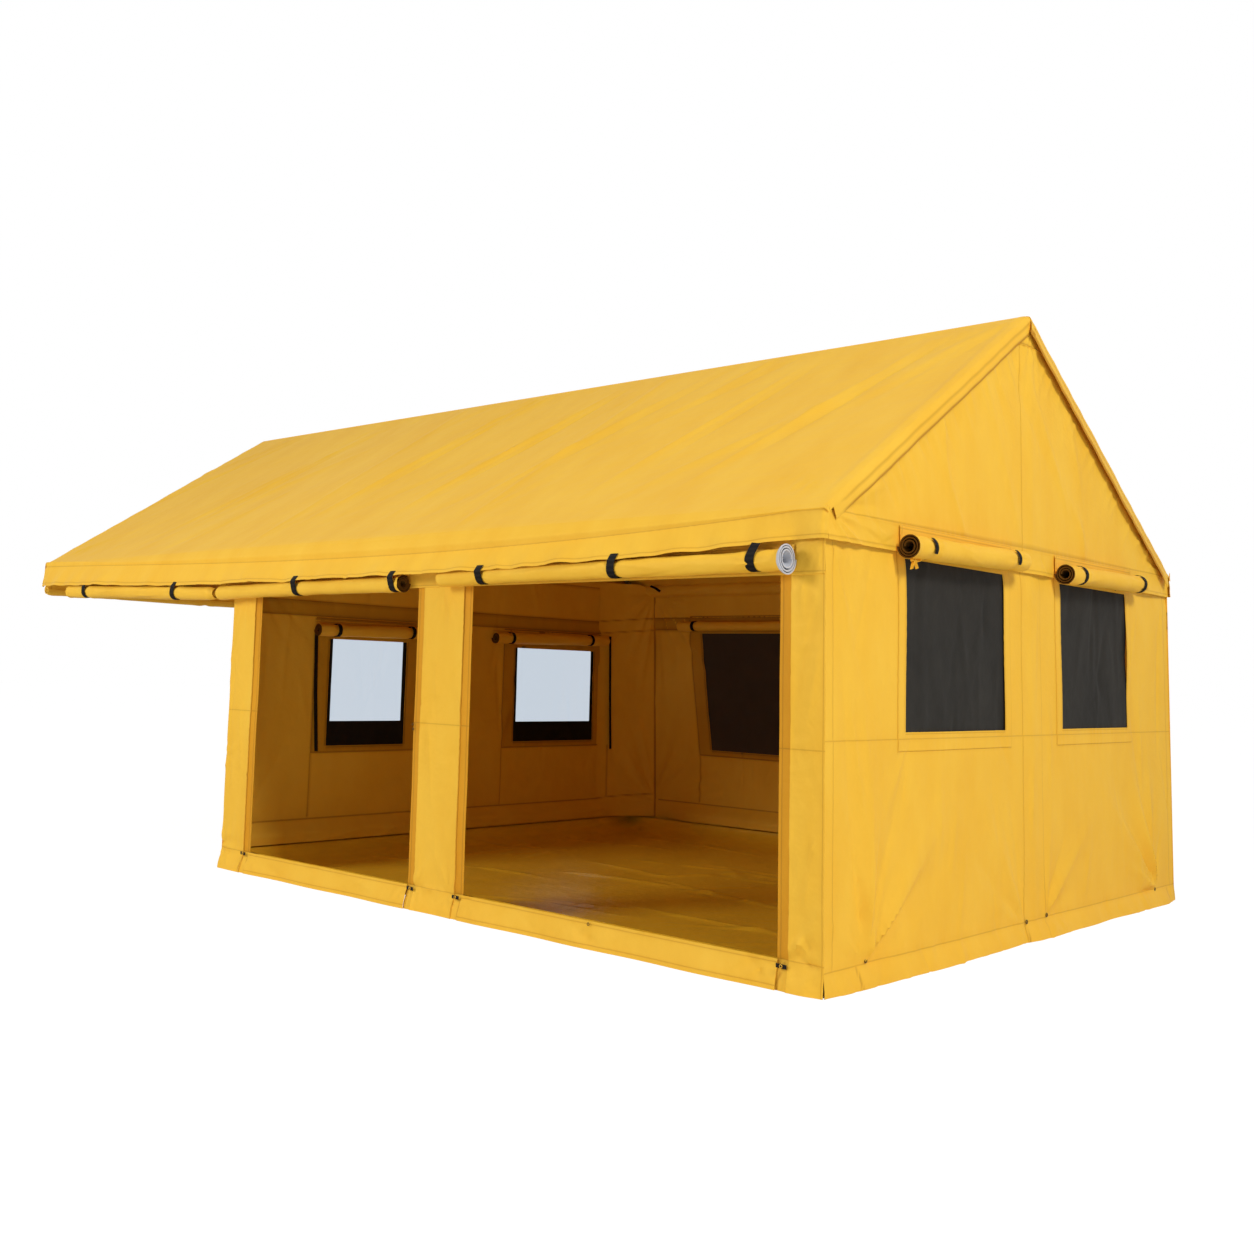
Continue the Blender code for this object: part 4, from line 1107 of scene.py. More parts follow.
# %% Mud flaps of the doorways
def sill_height(u, v):
    """A mud flap's height: slanting creases and the fans where it is pinned down, on the front's
    flare."""
    rng = np.random.default_rng(3)
    lines = scattered(rng, 22, (-1.9, 1.95, 0.0, 0.12), 20, 30, (0.15, 0.5), (0.012, 0.03), (0.001, 0.004))
    for at in (-1.85, -0.45, 0.1, 0.8, 1.9):
        lines += fan(rng, (at, 0.11), -150, -30, 5, (0.08, 0.3), (0.008, 0.02), (0.003, 0.006))
    return creases(u, v, lines) * ramp(v, -0.02, 0.05) + front_flare(u, v) + 0.001


for side, (low, high) in (("left", LEFT_DOOR), ("right", RIGHT_DOOR)):
    rows = [("v", SILL_TOP - 0.014, -FAR, FAR), ("v", 0.02, -FAR, FAR)]
    us = grid_lines(low - 0.006, high + 0.006, 0.02)
    vs = grid_lines(0.0, SILL_TOP, 0.012, places(rows, "v"))
    sill = wall("sill_" + side, us, vs, front_place, sill_height, rows)
    hang(sill, "door_sill_" + side, (high - low, 0.126), ["wall_front"])
print("front ready")

# %% [markdown]
# ## Left and back walls
# These are seen mostly from inside, so their seams matter there: a sewn band above the windows, and the
# patch round each window. The left wall is the full gable between the room and the porch. The back wall's
# cloth is pulled askew, so its windows lean.

# %% Left and back walls, porch gable
INNER_MARGIN = (0.125, 0.045, 0.14)
LEFT_BAND = (1.62, 1.72)
BACK_BAND = (1.67, 1.77)


def left_place(u, v, h):
    """The left wall: u along Y, v up, and h outwards, towards the porch."""
    return np.stack([LEFT_X - h, u, v], axis=-1)


def back_place(u, v, h):
    """The back wall: u along X, v up, h outwards; its second window is pulled askew along X."""
    lean = 0.115 * np.clip((1.62 - v) / 0.93, 0, 1.1) * np.exp(-(((u + 1.45) / 0.42) ** 4))
    return np.stack([u + lean, BACK_Y + h, v], axis=-1)


def porch_place(u, v, h):
    """The porch's gable is drawn in towards the front eave, with the roof's end."""
    drawn = DRAWN_IN * ramp(-u * SLOPE / ROOF_Y, 0.5, KNOT_LENGTHS[1]) * ramp(v, 1.90, 2.15)
    return np.stack([PORCH_X - h + drawn, u, v], axis=-1)

# %% [markdown]
# ## Creases seen from inside
# The far corner is pulled hardest, so its fans are deepest. Near the foot the creases are held back,
# because the skirting hangs there.


# %% Creases seen from inside
def inner_height(seed, boxes, half, tall, band, far):
    """The creases of a wall that is seen from inside, with its patches and its band. They spread from
    both upper corners and from both lower ones; far is where those at the far corner start: (side, u,
    top, foot)."""

    def height(u, v):
        """Creases held back near the foot, less the patches and the band, which lie on the inner side."""
        rng = np.random.default_rng(seed)
        lines = scattered(
            rng, 40, (-half, half, 0.2, tall - 0.2), 80, 25, (0.4, 1.2), (0.02, 0.05), (0.002, 0.006)
        )
        for side in (-1, 1):
            away = 90 + 90 * side
            u0, top, foot = far[1:] if side == far[0] else (side * (half - 0.08), 1.95, 0.15)
            low, high = (0.011, 0.020) if side == far[0] else (0.005, 0.009)
            lines += fan(
                rng, (u0, top), away, away + 80 * side, 11, (0.6, 1.7), (0.016, 0.036), (low, high)
            )
            lines += fan(
                rng, (u0, foot), away, away - 80 * side, 8, (0.5, 1.3), (0.016, 0.036), (low, high)
            )
        held = 0.2 + 0.8 * ramp(v, 0.25, 0.5)
        total = creases(u, v, lines) * held + waves(u, v, rng, 6, (0.4, 1.3), 0.0018)
        total = total - patches(u, v, boxes, INNER_MARGIN) - 0.003 * lap(v, *band) + 0.001 * lap(v, 0.0, 0.09)
        total = np.clip(total, -0.016, 0.02) * ramp(half - np.abs(u), 0, 0.1)
        return total + flare(v, 0.1, 0.02) - 0.001

    return height

# %% [markdown]
# ## Doubled cloth
# Cloth that is double lets less light through, so inside it looks darker. That shade is painted as a darker
# cloth on the inner side only: round the windows and along the band.


# %% Doubled cloth
def left_top(u, v):
    """Maps 0 to 1 on to the wall below the eave, and 1 to 2 on to the gable above it."""
    roof = RIDGE_Z - np.abs(u) * FALL - CLEAR_OF_ROOF
    low = np.minimum(EAVE_Z, roof)
    return np.clip(v, 0, 1) * low + np.clip(v - 1, 0, 1) * (roof - low)


def doubled(boxes, band):
    """Where the cloth is double: round the windows and along the band."""
    side, below, above = INNER_MARGIN
    frames = [(u0 - side, u1 + side, v0 - below, v1 + above) for u0, u1, v0, v1 in boxes]
    return frames + [(-FAR, FAR, *band)]


def wall_rows(boxes, band):
    """Rows of stitches of an inner wall: round the windows, down from their patches, and along the
    band."""
    rows = [row for box in boxes for row in window_rows(box, INNER_MARGIN)]
    for u0, u1, v0, _ in boxes:
        rows += [("u", u0 - INNER_MARGIN[0], 0.27, v0), ("u", u1 + INNER_MARGIN[0], 0.27, v0)]
    return rows + [("v", band[0], -FAR, FAR), ("v", band[1], -FAR, FAR), ("v", 0.09, -FAR, FAR)]

# %% [markdown]
# ## The left wall
# It reaches up to the ridge. Below the eave its rows are shares of the eave height, and above it they
# narrow with the roof, so the windows' edges are turned into shares too.

# %% The left wall
rows = wall_rows(LEFT_WINDOWS, LEFT_BAND) + [("v", EAVE_Z, -FAR, FAR)]
us = grid_lines(-WALL_HALF, WALL_HALF, 0.016, places(rows, "u") + edges(LEFT_WINDOWS, 0))
lower = grid_lines(0.0, EAVE_Z, 0.024, places(rows, "v") + edges(LEFT_WINDOWS, 2)) / EAVE_Z
vs = np.unique(np.concatenate([lower, 1 + np.linspace(0, 1, 42)]))
holes = [(u0, u1, v0 / EAVE_Z, v1 / EAVE_Z) for u0, u1, v0, v1 in LEFT_WINDOWS]
tapes = [(u0, u1, v0 / EAVE_Z, v1 / EAVE_Z) for u0, u1, v0, v1 in doubled(LEFT_WINDOWS, LEFT_BAND)]
left_height = inner_height(31, LEFT_WINDOWS, WALL_HALF, 3.2, LEFT_BAND, (1, 2.28, 2.0, 0.22))
left_wall = wall(
    "wall_left", us, vs, left_place, left_height, rows, holes, left_top,
    bold=1.7, tapes=tapes, second=DOUBLED_SHADE, sides_lined=(1, 0),
)
hang(left_wall, "left_gable_wall", (4.0, 3.26), ["rafter_front_left"])

# %% [markdown]
# ## The back wall
# It ends at the eave pole. Its grid is turned round, so that its outside faces away from the room.

# %% The back wall
rows = wall_rows(BACK_WINDOWS, BACK_BAND)
us = grid_lines(LEFT_X, RIGHT_X - CORNER_LAP, 0.016, places(rows, "u") + edges(BACK_WINDOWS, 0))
vs = grid_lines(0.0, 2.005, 0.024, places(rows, "v") + edges(BACK_WINDOWS, 2))
back_height = inner_height(37, BACK_WINDOWS, 2.2, 2.0, BACK_BAND, (-1, -1.95, 1.98, 0.27))
back_wall = wall(
    "wall_back", us, vs, back_place, back_height, rows, BACK_WINDOWS, flip=True,
    bold=1.7, tapes=doubled(BACK_WINDOWS, BACK_BAND), second=DOUBLED_SHADE, sides_lined=(0, 1),
)
hang(back_wall, "back_wall", (4.4, 2.02), ["eave_pole_back"])

# %% [markdown]
# ## The porch's gable
# It hardly shows, so it takes the closed end's creases on a coarser grid, without the window patches.

# %% The porch's gable
us = grid_lines(-1.998, 1.998, 0.035, POLE_STRIP)
vs = np.unique(
    np.concatenate([[0, 0.06, 0.12, 0.138, 0.16], np.linspace(0.2, 1, 12), 1 + np.linspace(0, 1, 36)])
)


def porch_height(u, v):
    """The porch's gable has the closed end's creases, without the laps round its windows."""
    return right_gable_height(u, v) - patches(u, v, RIGHT_WINDOWS, RIGHT_MARGIN)


porch_gable = wall("gable_porch", us, vs, porch_place, porch_height, band_rows, top=gable_top, flip=True)
hang(porch_gable, "porch_gable_panel", (4.0, 1.42), ["rafter_front_porch"])
print("other walls ready")

# %% [markdown]
# ## Inside trim
# A skirting of cloth hangs over the tub's edge along the left and back walls, and a sleeve of cloth
# closes the far corner, so that the pole there can't be seen.

# %% Skirting and corner sleeves
SKIRT_TOP = 0.272


def skirting(name, low, high, place):
    """A strip from the wall down over the tub's edge: held at the top, and loose and wavy at the
    bottom."""
    us = grid_lines(low, high, 0.022)
    vs = grid_lines(0.125, SKIRT_TOP, 0.014, [SKIRT_TOP - 0.012])

    def depth(u, v):
        """Minus the strip's distance from the wall: nearly none at its top, and most at its free foot."""
        rng = np.random.default_rng(int(abs(low) * 100))
        free = ramp(SKIRT_TOP - v, 0.0, 0.1) * (ramp(u - low, 0.0, 0.3) if place is back_place else 1)
        lines = scattered(
            rng, 26, (low, high, 0.13, 0.22), 15, 30, (0.1, 0.5), (0.01, 0.025), (0.002, 0.006)
        )
        return -0.009 - 0.075 * free - creases(u, v, lines) * free - waves(
            u, v, rng, 4, (0.3, 0.9), 0.004
        ) * free

    piece = wall(
        name, us, vs, place, depth, [("v", SKIRT_TOP - 0.006, -FAR, FAR)], flip=place is back_place,
        bold=2.0
    )
    hang(piece, None, (high - low, 0.15), ["wall_" + name.split("_")[1]])


skirting("skirting_left", -1.88, 1.58, left_place)
skirting("skirting_back", -1.905, 2.06, back_place)

# %% [markdown]
# ## Sleeve in the far corner
# A sheet across the corner hides the post. It is a surface between two upright lines, and its creases
# fade at both of them.

# %% Sleeve in the far corner
SLEEVE_FROM = (LEFT_X + 0.004, 1.56)
SLEEVE_TO_Y = BACK_Y - 0.004


def corner_sleeve(name):
    """The sleeve leaves the left wall gently and meets the back wall at a sharp line that leans a little.
    Its foot swings out as the skirting does."""
    z = grid_lines(0.125, 2.05, 0.012)
    share = np.unique(np.append(np.linspace(0, 1, 60), [0.975, 0.99]))
    tt, zz = np.meshgrid(share, z, indexing="ij")
    rng = np.random.default_rng(91)
    x = SLEEVE_FROM[0] + (-1.90 - 0.026 * zz - SLEEVE_FROM[0]) * tt**1.5
    y = SLEEVE_FROM[1] + (SLEEVE_TO_Y - SLEEVE_FROM[1]) * tt
    lines = fan(rng, (1.0, 1.98), -178, -95, 9, (0.5, 1.3), (0.03, 0.06), (0.016, 0.026))
    lines += fan(rng, (1.0, 0.25), 95, 175, 7, (0.5, 1.2), (0.03, 0.07), (0.014, 0.022))
    marks, pucker = seams(
        tt, zz - 0.045 * tt, [("v", at, -1, 2) for at in (SKIRT_TOP - 0.006, 1.622, 1.722)], 0.0048
    )
    marks = np.maximum(marks, np.exp(-(((tt - 0.23) / 0.012) ** 2)) * lap(zz, SKIRT_TOP, 0.70))
    # The dark line along the sleeve's edge at the back wall is painted shade of the corner.
    marks = np.maximum(1.7 * marks, 2.0 * ramp(tt, 0.965, 0.99))
    out = creases(tt, zz, lines) * np.sin(np.pi * tt) ** 0.5 + pucker
    swing = 0.077 * ramp(SKIRT_TOP - zz, 0.0, 0.1)
    under_roof = np.minimum(zz, RIDGE_Z - y * FALL - 0.035)
    points = np.stack([x + 0.85 * out + swing * (1 - tt) ** 1.5, y - 0.5 * out, under_roof], axis=-1)
    piece = shell(name, points, np.stack([tt * 0.55, zz], axis=-1), CANVAS, stitch_and_shade=marks, thickness=0.0015)
    hang(piece, None, (0.60, 1.93), ["wall_left"])


corner_sleeve("corner_sleeve_back")

# %% [markdown]
# ## Pocket on the back pole
# The wall hangs from the pole by a sewn pocket: a short section in Y and Z, carried along X.


# %% Pocket on the back pole
def pole_pocket(name, low, high, section):
    """A cloth pocket along X whose section is a path of (y, z) points, for a pole to lie in."""
    section = np.array(section)
    s = np.linspace(0, 1, 24)
    knots = np.linspace(0, 1, len(section))
    x, share = np.meshgrid(grid_lines(low, high, 0.05), s, indexing="ij")
    y = np.interp(share, knots, section[:, 0])
    z = np.interp(share, knots, section[:, 1]) + 0.002 * np.sin(x * 17) * share
    piece = shell(
        name, np.stack([x, y, z], axis=-1), np.stack([x, share * 0.13], axis=-1), CANVAS, thickness=0.0012
    )
    hang(piece, None, (high - low, 0.13), ["eave_pole_back"])


pocket_section = [
    (BACK_Y - 0.004, 1.945), (1.95, 1.962), (1.936, 1.985), (1.933, 2.01), (1.94, 2.03), (1.955, 2.042)
]
pole_pocket("pole_pocket_back", -2.10, 2.13, pocket_section)
print("inside trim ready")

# %% [markdown]
# ## The floor
# The groundsheet is a tub of heavier coated cloth, shinier than the walls. Laid loose on the ground it
# keeps long shallow ripples, and its edge is turned up all round.

# %% Groundsheet
*FLOOR_HALF, TUB_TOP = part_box("groundsheet")[1]


def build_floor():
    """The middle lies on the ground; the last rows and columns turn up into the tub's side."""
    rng = np.random.default_rng(17)
    half_x, half_y = FLOOR_HALF
    turn = np.radians(np.linspace(0, 90, 9))
    cove, tall = 0.28, TUB_TOP - 0.004
    side = cove * np.append(np.sin(turn), 1.0)
    climb = np.append(0.97 * tall * (1 - np.cos(turn)), tall)

    def across(half):
        """Places and heights along one axis: a flat middle and a coved side at each end."""
        middle = grid_lines(-half + cove + 0.01, half - cove - 0.01, 0.024)
        place = np.concatenate([-(half - cove + side[::-1]), middle, half - cove + side])
        return place, np.concatenate([climb[::-1], 0 * middle, climb])

    x, up_x = across(half_x)
    y, up_y = across(half_y)
    xx, yy = np.meshgrid(x, y, indexing="ij")
    lines = scattered(rng, 60, (-2, 2, -1.8, 1.8), 5, 24, (0.5, 1.9), (0.02, 0.05), (0.003, 0.008))
    lines += scattered(rng, 24, (-2, 2, -1.8, 1.8), 80, 30, (0.3, 1.0), (0.02, 0.05), (0.003, 0.006))
    bowed = yy + 0.06 * np.sin(xx * 2.1 + 0.6)
    fold = np.clip(
        creases(xx, bowed, lines), -0.0005, 0.02
    ) + 0.002 + waves(xx, yy, rng, 5, (0.6, 1.5), 0.0008)
    inside = ramp(half_x - np.abs(xx), 0.06, 0.2) * ramp(half_y - np.abs(yy), 0.06, 0.2)
    lift = np.maximum(up_x[:, None], up_y[None, :])
    lift = np.minimum(lift + 0.3 * np.minimum(up_x[:, None], up_y[None, :]), tall)
    z = np.maximum(0.003 + fold * inside, 0.0028) + lift
    points = np.stack([xx, yy, z], axis=-1)
    uv = np.stack([xx + np.sign(xx) * up_x[:, None], yy + np.sign(yy) * up_y[None, :]], axis=-1)
    return shell("floor_tub", points, uv, FLOOR_CLOTH, thickness=0.0026)


floor = build_floor()
hang(floor, "groundsheet", (4.5, 4.1), ["wall_front"], "laid", "coated_floor")
print("floor ready", round(TUB_TOP, 3))

# %% [markdown]
# ## Window sheets
# The right wall's windows are fine netting, nearly black against the dark room. The left wall's are film
# in a black border, with a wide black strip along the bottom, and daylight from the porch comes through
# them. Those in the back wall are doubled netting.

# %% Window sheets
STRIP_TOP = {"window_mesh_left_1": 0.898, "window_mesh_left_2": 0.911}


def window_sheet(name, node, across, place, stand, material):
    """A window's netting or film: a nearly flat sheet with slight folds, sewn behind its opening."""
    u0, u1, v0, v1 = node_box(node, across)
    border = []
    if node in STRIP_TOP:
        border = [(u0, u0 + 0.045, v0, v1), (u1 - 0.045, u1, v0, v1), (u0, u1, v0, STRIP_TOP[node])]
    us = np.unique(np.concatenate([np.linspace(u0, u1, 60), [u0 + 0.045, u1 - 0.045]]))
    vs = np.unique(np.append(np.linspace(v0, v1, 24), STRIP_TOP.get(node, v1)))

    def height(u, v):
        """Slight upright folds, with a belly and a middle seam in the closed end's netting."""
        rng = np.random.default_rng(len(name) + int(1000 * abs(u0)))
        deep = 3.0 if material is DARK_NET else 1.0
        lines = scattered(
            rng, 14, (u0, u1, v0, v1), 88, 16, (0.3, 0.9), (0.014, 0.045), (0.0008 * deep, 0.002 * deep)
        )
        belly = 0.004 * np.sin(np.pi * (u - u0) / (u1 - u0)) * np.sin(np.pi * (v - v0) / (v1 - v0))
        seam = 0.0015 * lap(u, (u0 + u1) / 2 - 0.012, (u0 + u1) / 2 + 0.012)
        fold = np.minimum(creases(u, v, lines), 0.004) + stand
        return fold - belly * (place is right_place) + seam * (material is DARK_NET)

    piece = wall(
        name, us, vs, place, height, [], material=material, thickness=0.001,
        flip=place is back_place, tapes=border, second=BLACK_CLOTH,
    )
    hang(piece, node, (u1 - u0, v1 - v0), ["wall_" + name.split("_")[1]], "stretched", "netting")


for i in (1, 2):
    window_sheet(f"net_right_{i}", f"window_mesh_right_{i}", 1, right_place, -0.0145, DARK_NET)
    window_sheet(f"film_left_{i}", f"window_mesh_left_{i}", 1, left_place, 0.0035, FILM)
    window_sheet(f"net_back_{i}", f"window_mesh_back_{i}", 0, back_place, 0.0035, CLOSE_NET)
print("window sheets ready")

# %% [markdown]
# ## Rolls of cloth
# A rolled curtain is a spiral: the radius falls by one pitch with every turn. It starts on the wall side,
# where the cloth comes down to it, and runs down, to the front and up. Where a strap goes round, it is
# pulled in, and small creases spread from there. The ends and inner turns show the white coating of the
# inner side, or a dark brown that is painted shade inside the roll.

# %% Roll builder
PITCH = 0.0115
ROLL_CLOTH = 0.006
TURNS = 3
STEPS_A_TURN = 40
TURN_LENGTH = 0.31
ROLLED_LENGTH = TURNS * 2 * math.pi * 0.06


def roll_surface(a, turn, straps):
    """Unevenness of a roll's outside: a waist at each strap, creases from it, and long folds along the
    roll."""
    rng = np.random.default_rng(int(abs(a.min()) * 1000))
    arc = turn * TURN_LENGTH
    lines = scattered(
        rng, int(9 * np.ptp(a)), (a.min(), a.max(), 0.03, 0.29), 0, 9, (0.15, 0.6), (0.006, 0.014),
        (0.001, 0.003)
    )
    total = waves(a, arc, rng, 6, (0.2, 0.9), 0.0016)
    for at in straps:
        lines += fan(rng, (at + 0.01, 0.15), -50, 50, 5, (0.05, 0.2), (0.006, 0.012), (0.002, 0.004))
        lines += fan(rng, (at - 0.01, 0.15), 130, 230, 5, (0.05, 0.2), (0.006, 0.012), (0.002, 0.004))
        total = total - 0.006 * np.exp(-(((a - at) / 0.026) ** 2))
        total = total + 0.003 * np.exp(-(((np.abs(a - at) - 0.06) / 0.03) ** 2))
    return total + creases(a, arc, lines) * (turn < 1) * ramp(turn, 0.0, 0.12)

# %% [markdown]
# ## The spiral
# The section is two spirals, the cloth's outside and its inside, joined at both ends, and it is carried
# along the roll. A Screw modifier couldn't make the waists at the straps.


# %% The spiral
def spiral(name, along, radius, place, ends, straps=(), cuff=0.0):
    """A rolled sheet. along gives its stations, radius(a) its outer radius, place(a, y, z) puts the
    section in the room, and ends are the materials seen at its two ends. The last one covers the outside
    too for a cuff's length."""
    steps = TURNS * STEPS_A_TURN + 1
    turn = np.linspace(0, TURNS, steps)
    a, t = np.meshgrid(along, turn, indexing="ij")
    outer = radius(a) - PITCH * t + roll_surface(a, t, straps)
    section = []
    for r, angle in ((outer, -2 * np.pi * t), ((outer - ROLL_CLOTH)[:, ::-1], -2 * np.pi * t[:, ::-1])):
        section.append(place(a, r * np.cos(angle) - radius(a), r * np.sin(angle)))
    loop = np.concatenate(section, axis=1)
    stations, around = loop.shape[:2]
    index = np.arange(stations * around).reshape(stations, around)
    after = np.roll(index, -1, axis=1)
    sides = np.stack([index[:-1], after[:-1], after[1:], index[1:]], axis=-1).reshape(-1, 4)
    half = np.arange(steps - 1)
    caps = []
    for ring, turned in ((index[0], 1), (index[-1], -1)):
        quad = np.stack(
            [ring[half], ring[around - 1 - half], ring[around - 2 - half], ring[half + 1]], axis=1
        )
        caps.append(quad[:, ::turned])
    faces = np.concatenate([sides, *caps])
    flat = loop.reshape(-1, 3)
    near = sides[: steps // TURNS]
    normal = np.cross(flat[near[:, 2]] - flat[near[:, 0]], flat[near[:, 3]] - flat[near[:, 1]])
    if ((flat[near[:, 0]] - loop[0, :steps].mean(axis=0)) * normal).sum() < 0:
        faces = faces[:, ::-1]
    uv = np.stack([a, t * TURN_LENGTH], axis=-1)
    uv = np.concatenate([uv, uv[:, ::-1]], axis=1).reshape(-1, 2)
    ring_of = np.tile(np.arange(around), stations - 1)
    station = np.repeat((along[:-1] + along[1:]) / 2, around)
    inside = (ring_of >= steps) | (ring_of > steps / TURNS)
    kinds = np.where(inside, np.where(station < along.mean(), 1, 2), 0)
    kinds[station > along[-1] - cuff] = 2
    kinds = np.concatenate([kinds, np.full(len(half), 1), np.full(len(half), 2)])
    obj = put_in_mesh(name, flat, faces, uv, np.zeros(len(flat)), [CANVAS, *ends], kinds)
    obj["area"] = float(np.ptp(along) * 2 * np.pi * TURNS * (np.mean(radius(along)) - PITCH * TURNS / 2))
    return obj

# %% [markdown]
# ## Placing a roll
# A roll hangs on a wall plane, and its axis tilts and waves a little between its two ends.

# %% Placing a roll
STAND = 0.006


def roll_place(axis, wall_side, outward, height, low, high):
    """Puts a roll's section in the room: along X (axis 0) or Y (axis 1), its wall side on a plane, and
    its axis on a line between two heights."""

    def place(a, y, z):
        """y is how far outwards from the wall side, negative outwards, and z is how far above the
        axis."""
        tilted = z + np.interp(a, (low, high), height) + 0.003 * np.sin(a * 3)
        off = wall_side - outward * y + 0 * a
        return np.stack([a, off, tilted] if axis == 0 else [off, a, tilted], axis=-1)

    return place


def roll_radius(low, high, middle, tips):
    """The body's radius, with its own radius at each tip: smaller where the end is drawn in, larger for a
    cuff."""

    def radius(a):
        """The middle's radius plus a bell curve at each tip."""
        first = (tips[0] - middle) * np.exp(-(((a - low) / 0.02) ** 2))
        last = (tips[1] - middle) * np.exp(-(((a - high) / 0.03) ** 2))
        return middle + first + last + 0 * a

    return radius

# %% [markdown]
# ## Ten rolls
# What differs from roll to roll is written down once: its wall, heights, radius, ends and straps, as the
# photograph shows them. The length comes from the model.

# %% Ten rolls
FRONT_SIDE = FRONT_Y - 0.0026 - STAND
# A dark end material on a roll paints the shade inside the roll on its end and inner turns.
ROLLS = {
    "door_curtain_right": dict(
        axis=0, side=FRONT_SIDE, out=-1, height=(1.768, 1.788), middle=0.050, tips=(0.047, 0.070),
        ends=(ROLL_END_SHADE, WHITE_EDGE), straps=(0.20, 1.10, 1.89), cuff=0.03, held="wall_front",
    ),
    "door_curtain_left": dict(
        axis=0, side=FRONT_SIDE, out=-1, height=(1.737, 1.752), middle=0.050, tips=(0.040, 0.052),
        ends=(CANVAS, ROLL_END_SHADE), straps=(-1.408, -0.50), held="wall_front",
    ),
    "porch_curtain_front": dict(
        axis=0, side=FRONT_SIDE, out=-1, height=(1.788, 1.737), middle=0.051, tips=(0.053, 0.040),
        ends=(WHITE_EDGE, CANVAS), straps=(-4.03, -2.794), held="roof_sheet",
    ),
    "porch_curtain_end": dict(
        axis=1, side=PORCH_X - STAND, out=-1, height=(1.825, 1.825), middle=0.050, tips=(0.040, 0.046),
        ends=(CANVAS, ROLL_END_SHADE), straps=(-1.6, -0.5, 0.5, 1.6), held="gable_porch",
    ),
    "window_cover_right_1": dict(
        axis=1, side=RIGHT_X + 0.0075, out=1, height=(1.886, 1.919), middle=0.058, tips=(0.060, 0.045),
        ends=(ROLL_END_SHADE, CANVAS), straps=(-1.262, -0.395), held="wall_right",
    ),
    "window_cover_right_2": dict(
        axis=1, side=RIGHT_X + 0.0075, out=1, height=(1.887, 1.909), middle=0.055, tips=(0.059, 0.044),
        ends=(ROLL_END_SHADE, CANVAS), straps=(0.453, 1.317), held="wall_right",
    ),
    "window_cover_left_1": dict(
        axis=1, side=LEFT_X + 0.009, out=1, height=(1.535, 1.565), middle=0.047, tips=(0.047, 0.045),
        ends=(ROLL_END_SHADE, CANVAS), straps=(0.475, 1.39), held="wall_left", ends_at=(0.31, 1.60),
    ),
    "window_cover_left_2": dict(
        axis=1, side=LEFT_X + 0.009, out=1, height=(1.525, 1.545), middle=0.047, tips=(0.047, 0.045),
        ends=(ROLL_END_SHADE, CANVAS), straps=(-1.205, -0.542), held="wall_left", ends_at=(-1.365, -0.44),
    ),
    "window_cover_back_1": dict(
        axis=0, side=BACK_Y - 0.009, out=-1, height=(1.705, 1.705), middle=0.042, tips=(0.042, 0.036),
        ends=(ROLL_END_SHADE, CANVAS), straps=(0.52, 1.44), held="wall_back",
    ),
    "window_cover_back_2": dict(
        axis=0, side=BACK_Y - 0.009, out=-1, height=(1.695, 1.705), middle=0.042, tips=(0.042, 0.036),
        ends=(ROLL_END_SHADE, CANVAS), straps=(-1.50, -0.52), held="wall_back",
    ),
}

# %% [markdown]
# ## Making the rolls
# Stations crowd towards both tips, where the end is drawn in or widens to a cuff. Each roll rides on its
# own body, so that it slides down in the poses.

# %% Making the rolls
for node, roll in ROLLS.items():
    low, high = roll.get("ends_at") or [corner[roll["axis"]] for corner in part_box(node)]
    roll["span"] = (low, high)
    roll["place"] = roll_place(roll["axis"], roll["side"], roll["out"], roll["height"], low, high)
    roll["radius"] = roll_radius(low, high, roll["middle"], roll["tips"])
    tips = np.array([0.004, 0.01, 0.018, 0.028, 0.042])
    stations = np.unique(
        np.round(np.concatenate([grid_lines(low, high, 0.02), low + tips, high - tips]), 4)
    )
    shape = (roll["radius"], roll["place"], roll["ends"], roll["straps"], roll.get("cuff", 0))
    piece = spiral("roll_" + node, stations, *shape)
    hang(piece, node, (high - low, ROLLED_LENGTH), [roll["held"]], "folded", body=node)
print("rolls ready", len(ROLLS))

# %% [markdown]
# ## The cloth above each roll
# A curtain is sewn to the tent along its top edge. When its straps are undone the roll drops and the
# cloth pays out. Here a strip joins the tent to the roll, at rest a short flap behind the roll.

# %% Upper flaps
FLAPS = {
    "door_curtain_right": (1.855, 0.0050),
    "door_curtain_left": (1.855, 0.0050),
    "porch_curtain_front": (1.93, 0.0050),
    "porch_curtain_end": (1.93, 0.0050),
    "window_cover_right_1": (1.988, 0.0075),
    "window_cover_right_2": (1.988, 0.0075),
    "window_cover_left_1": (1.605, 0.0065),
    "window_cover_left_2": (1.595, 0.0065),
    "window_cover_back_1": (1.775, 0.0065),
    "window_cover_back_2": (1.775, 0.0065),
}
FLAP_PLANES = {
    "wall_front": FRONT_SIDE + STAND,
    "roof_sheet": FRONT_SIDE + STAND,
    "gable_porch": PORCH_X - STAND,
    "wall_right": RIGHT_X,
    "wall_left": LEFT_X,
    "wall_back": BACK_Y,
}
FRONT_LEAN = 0.016
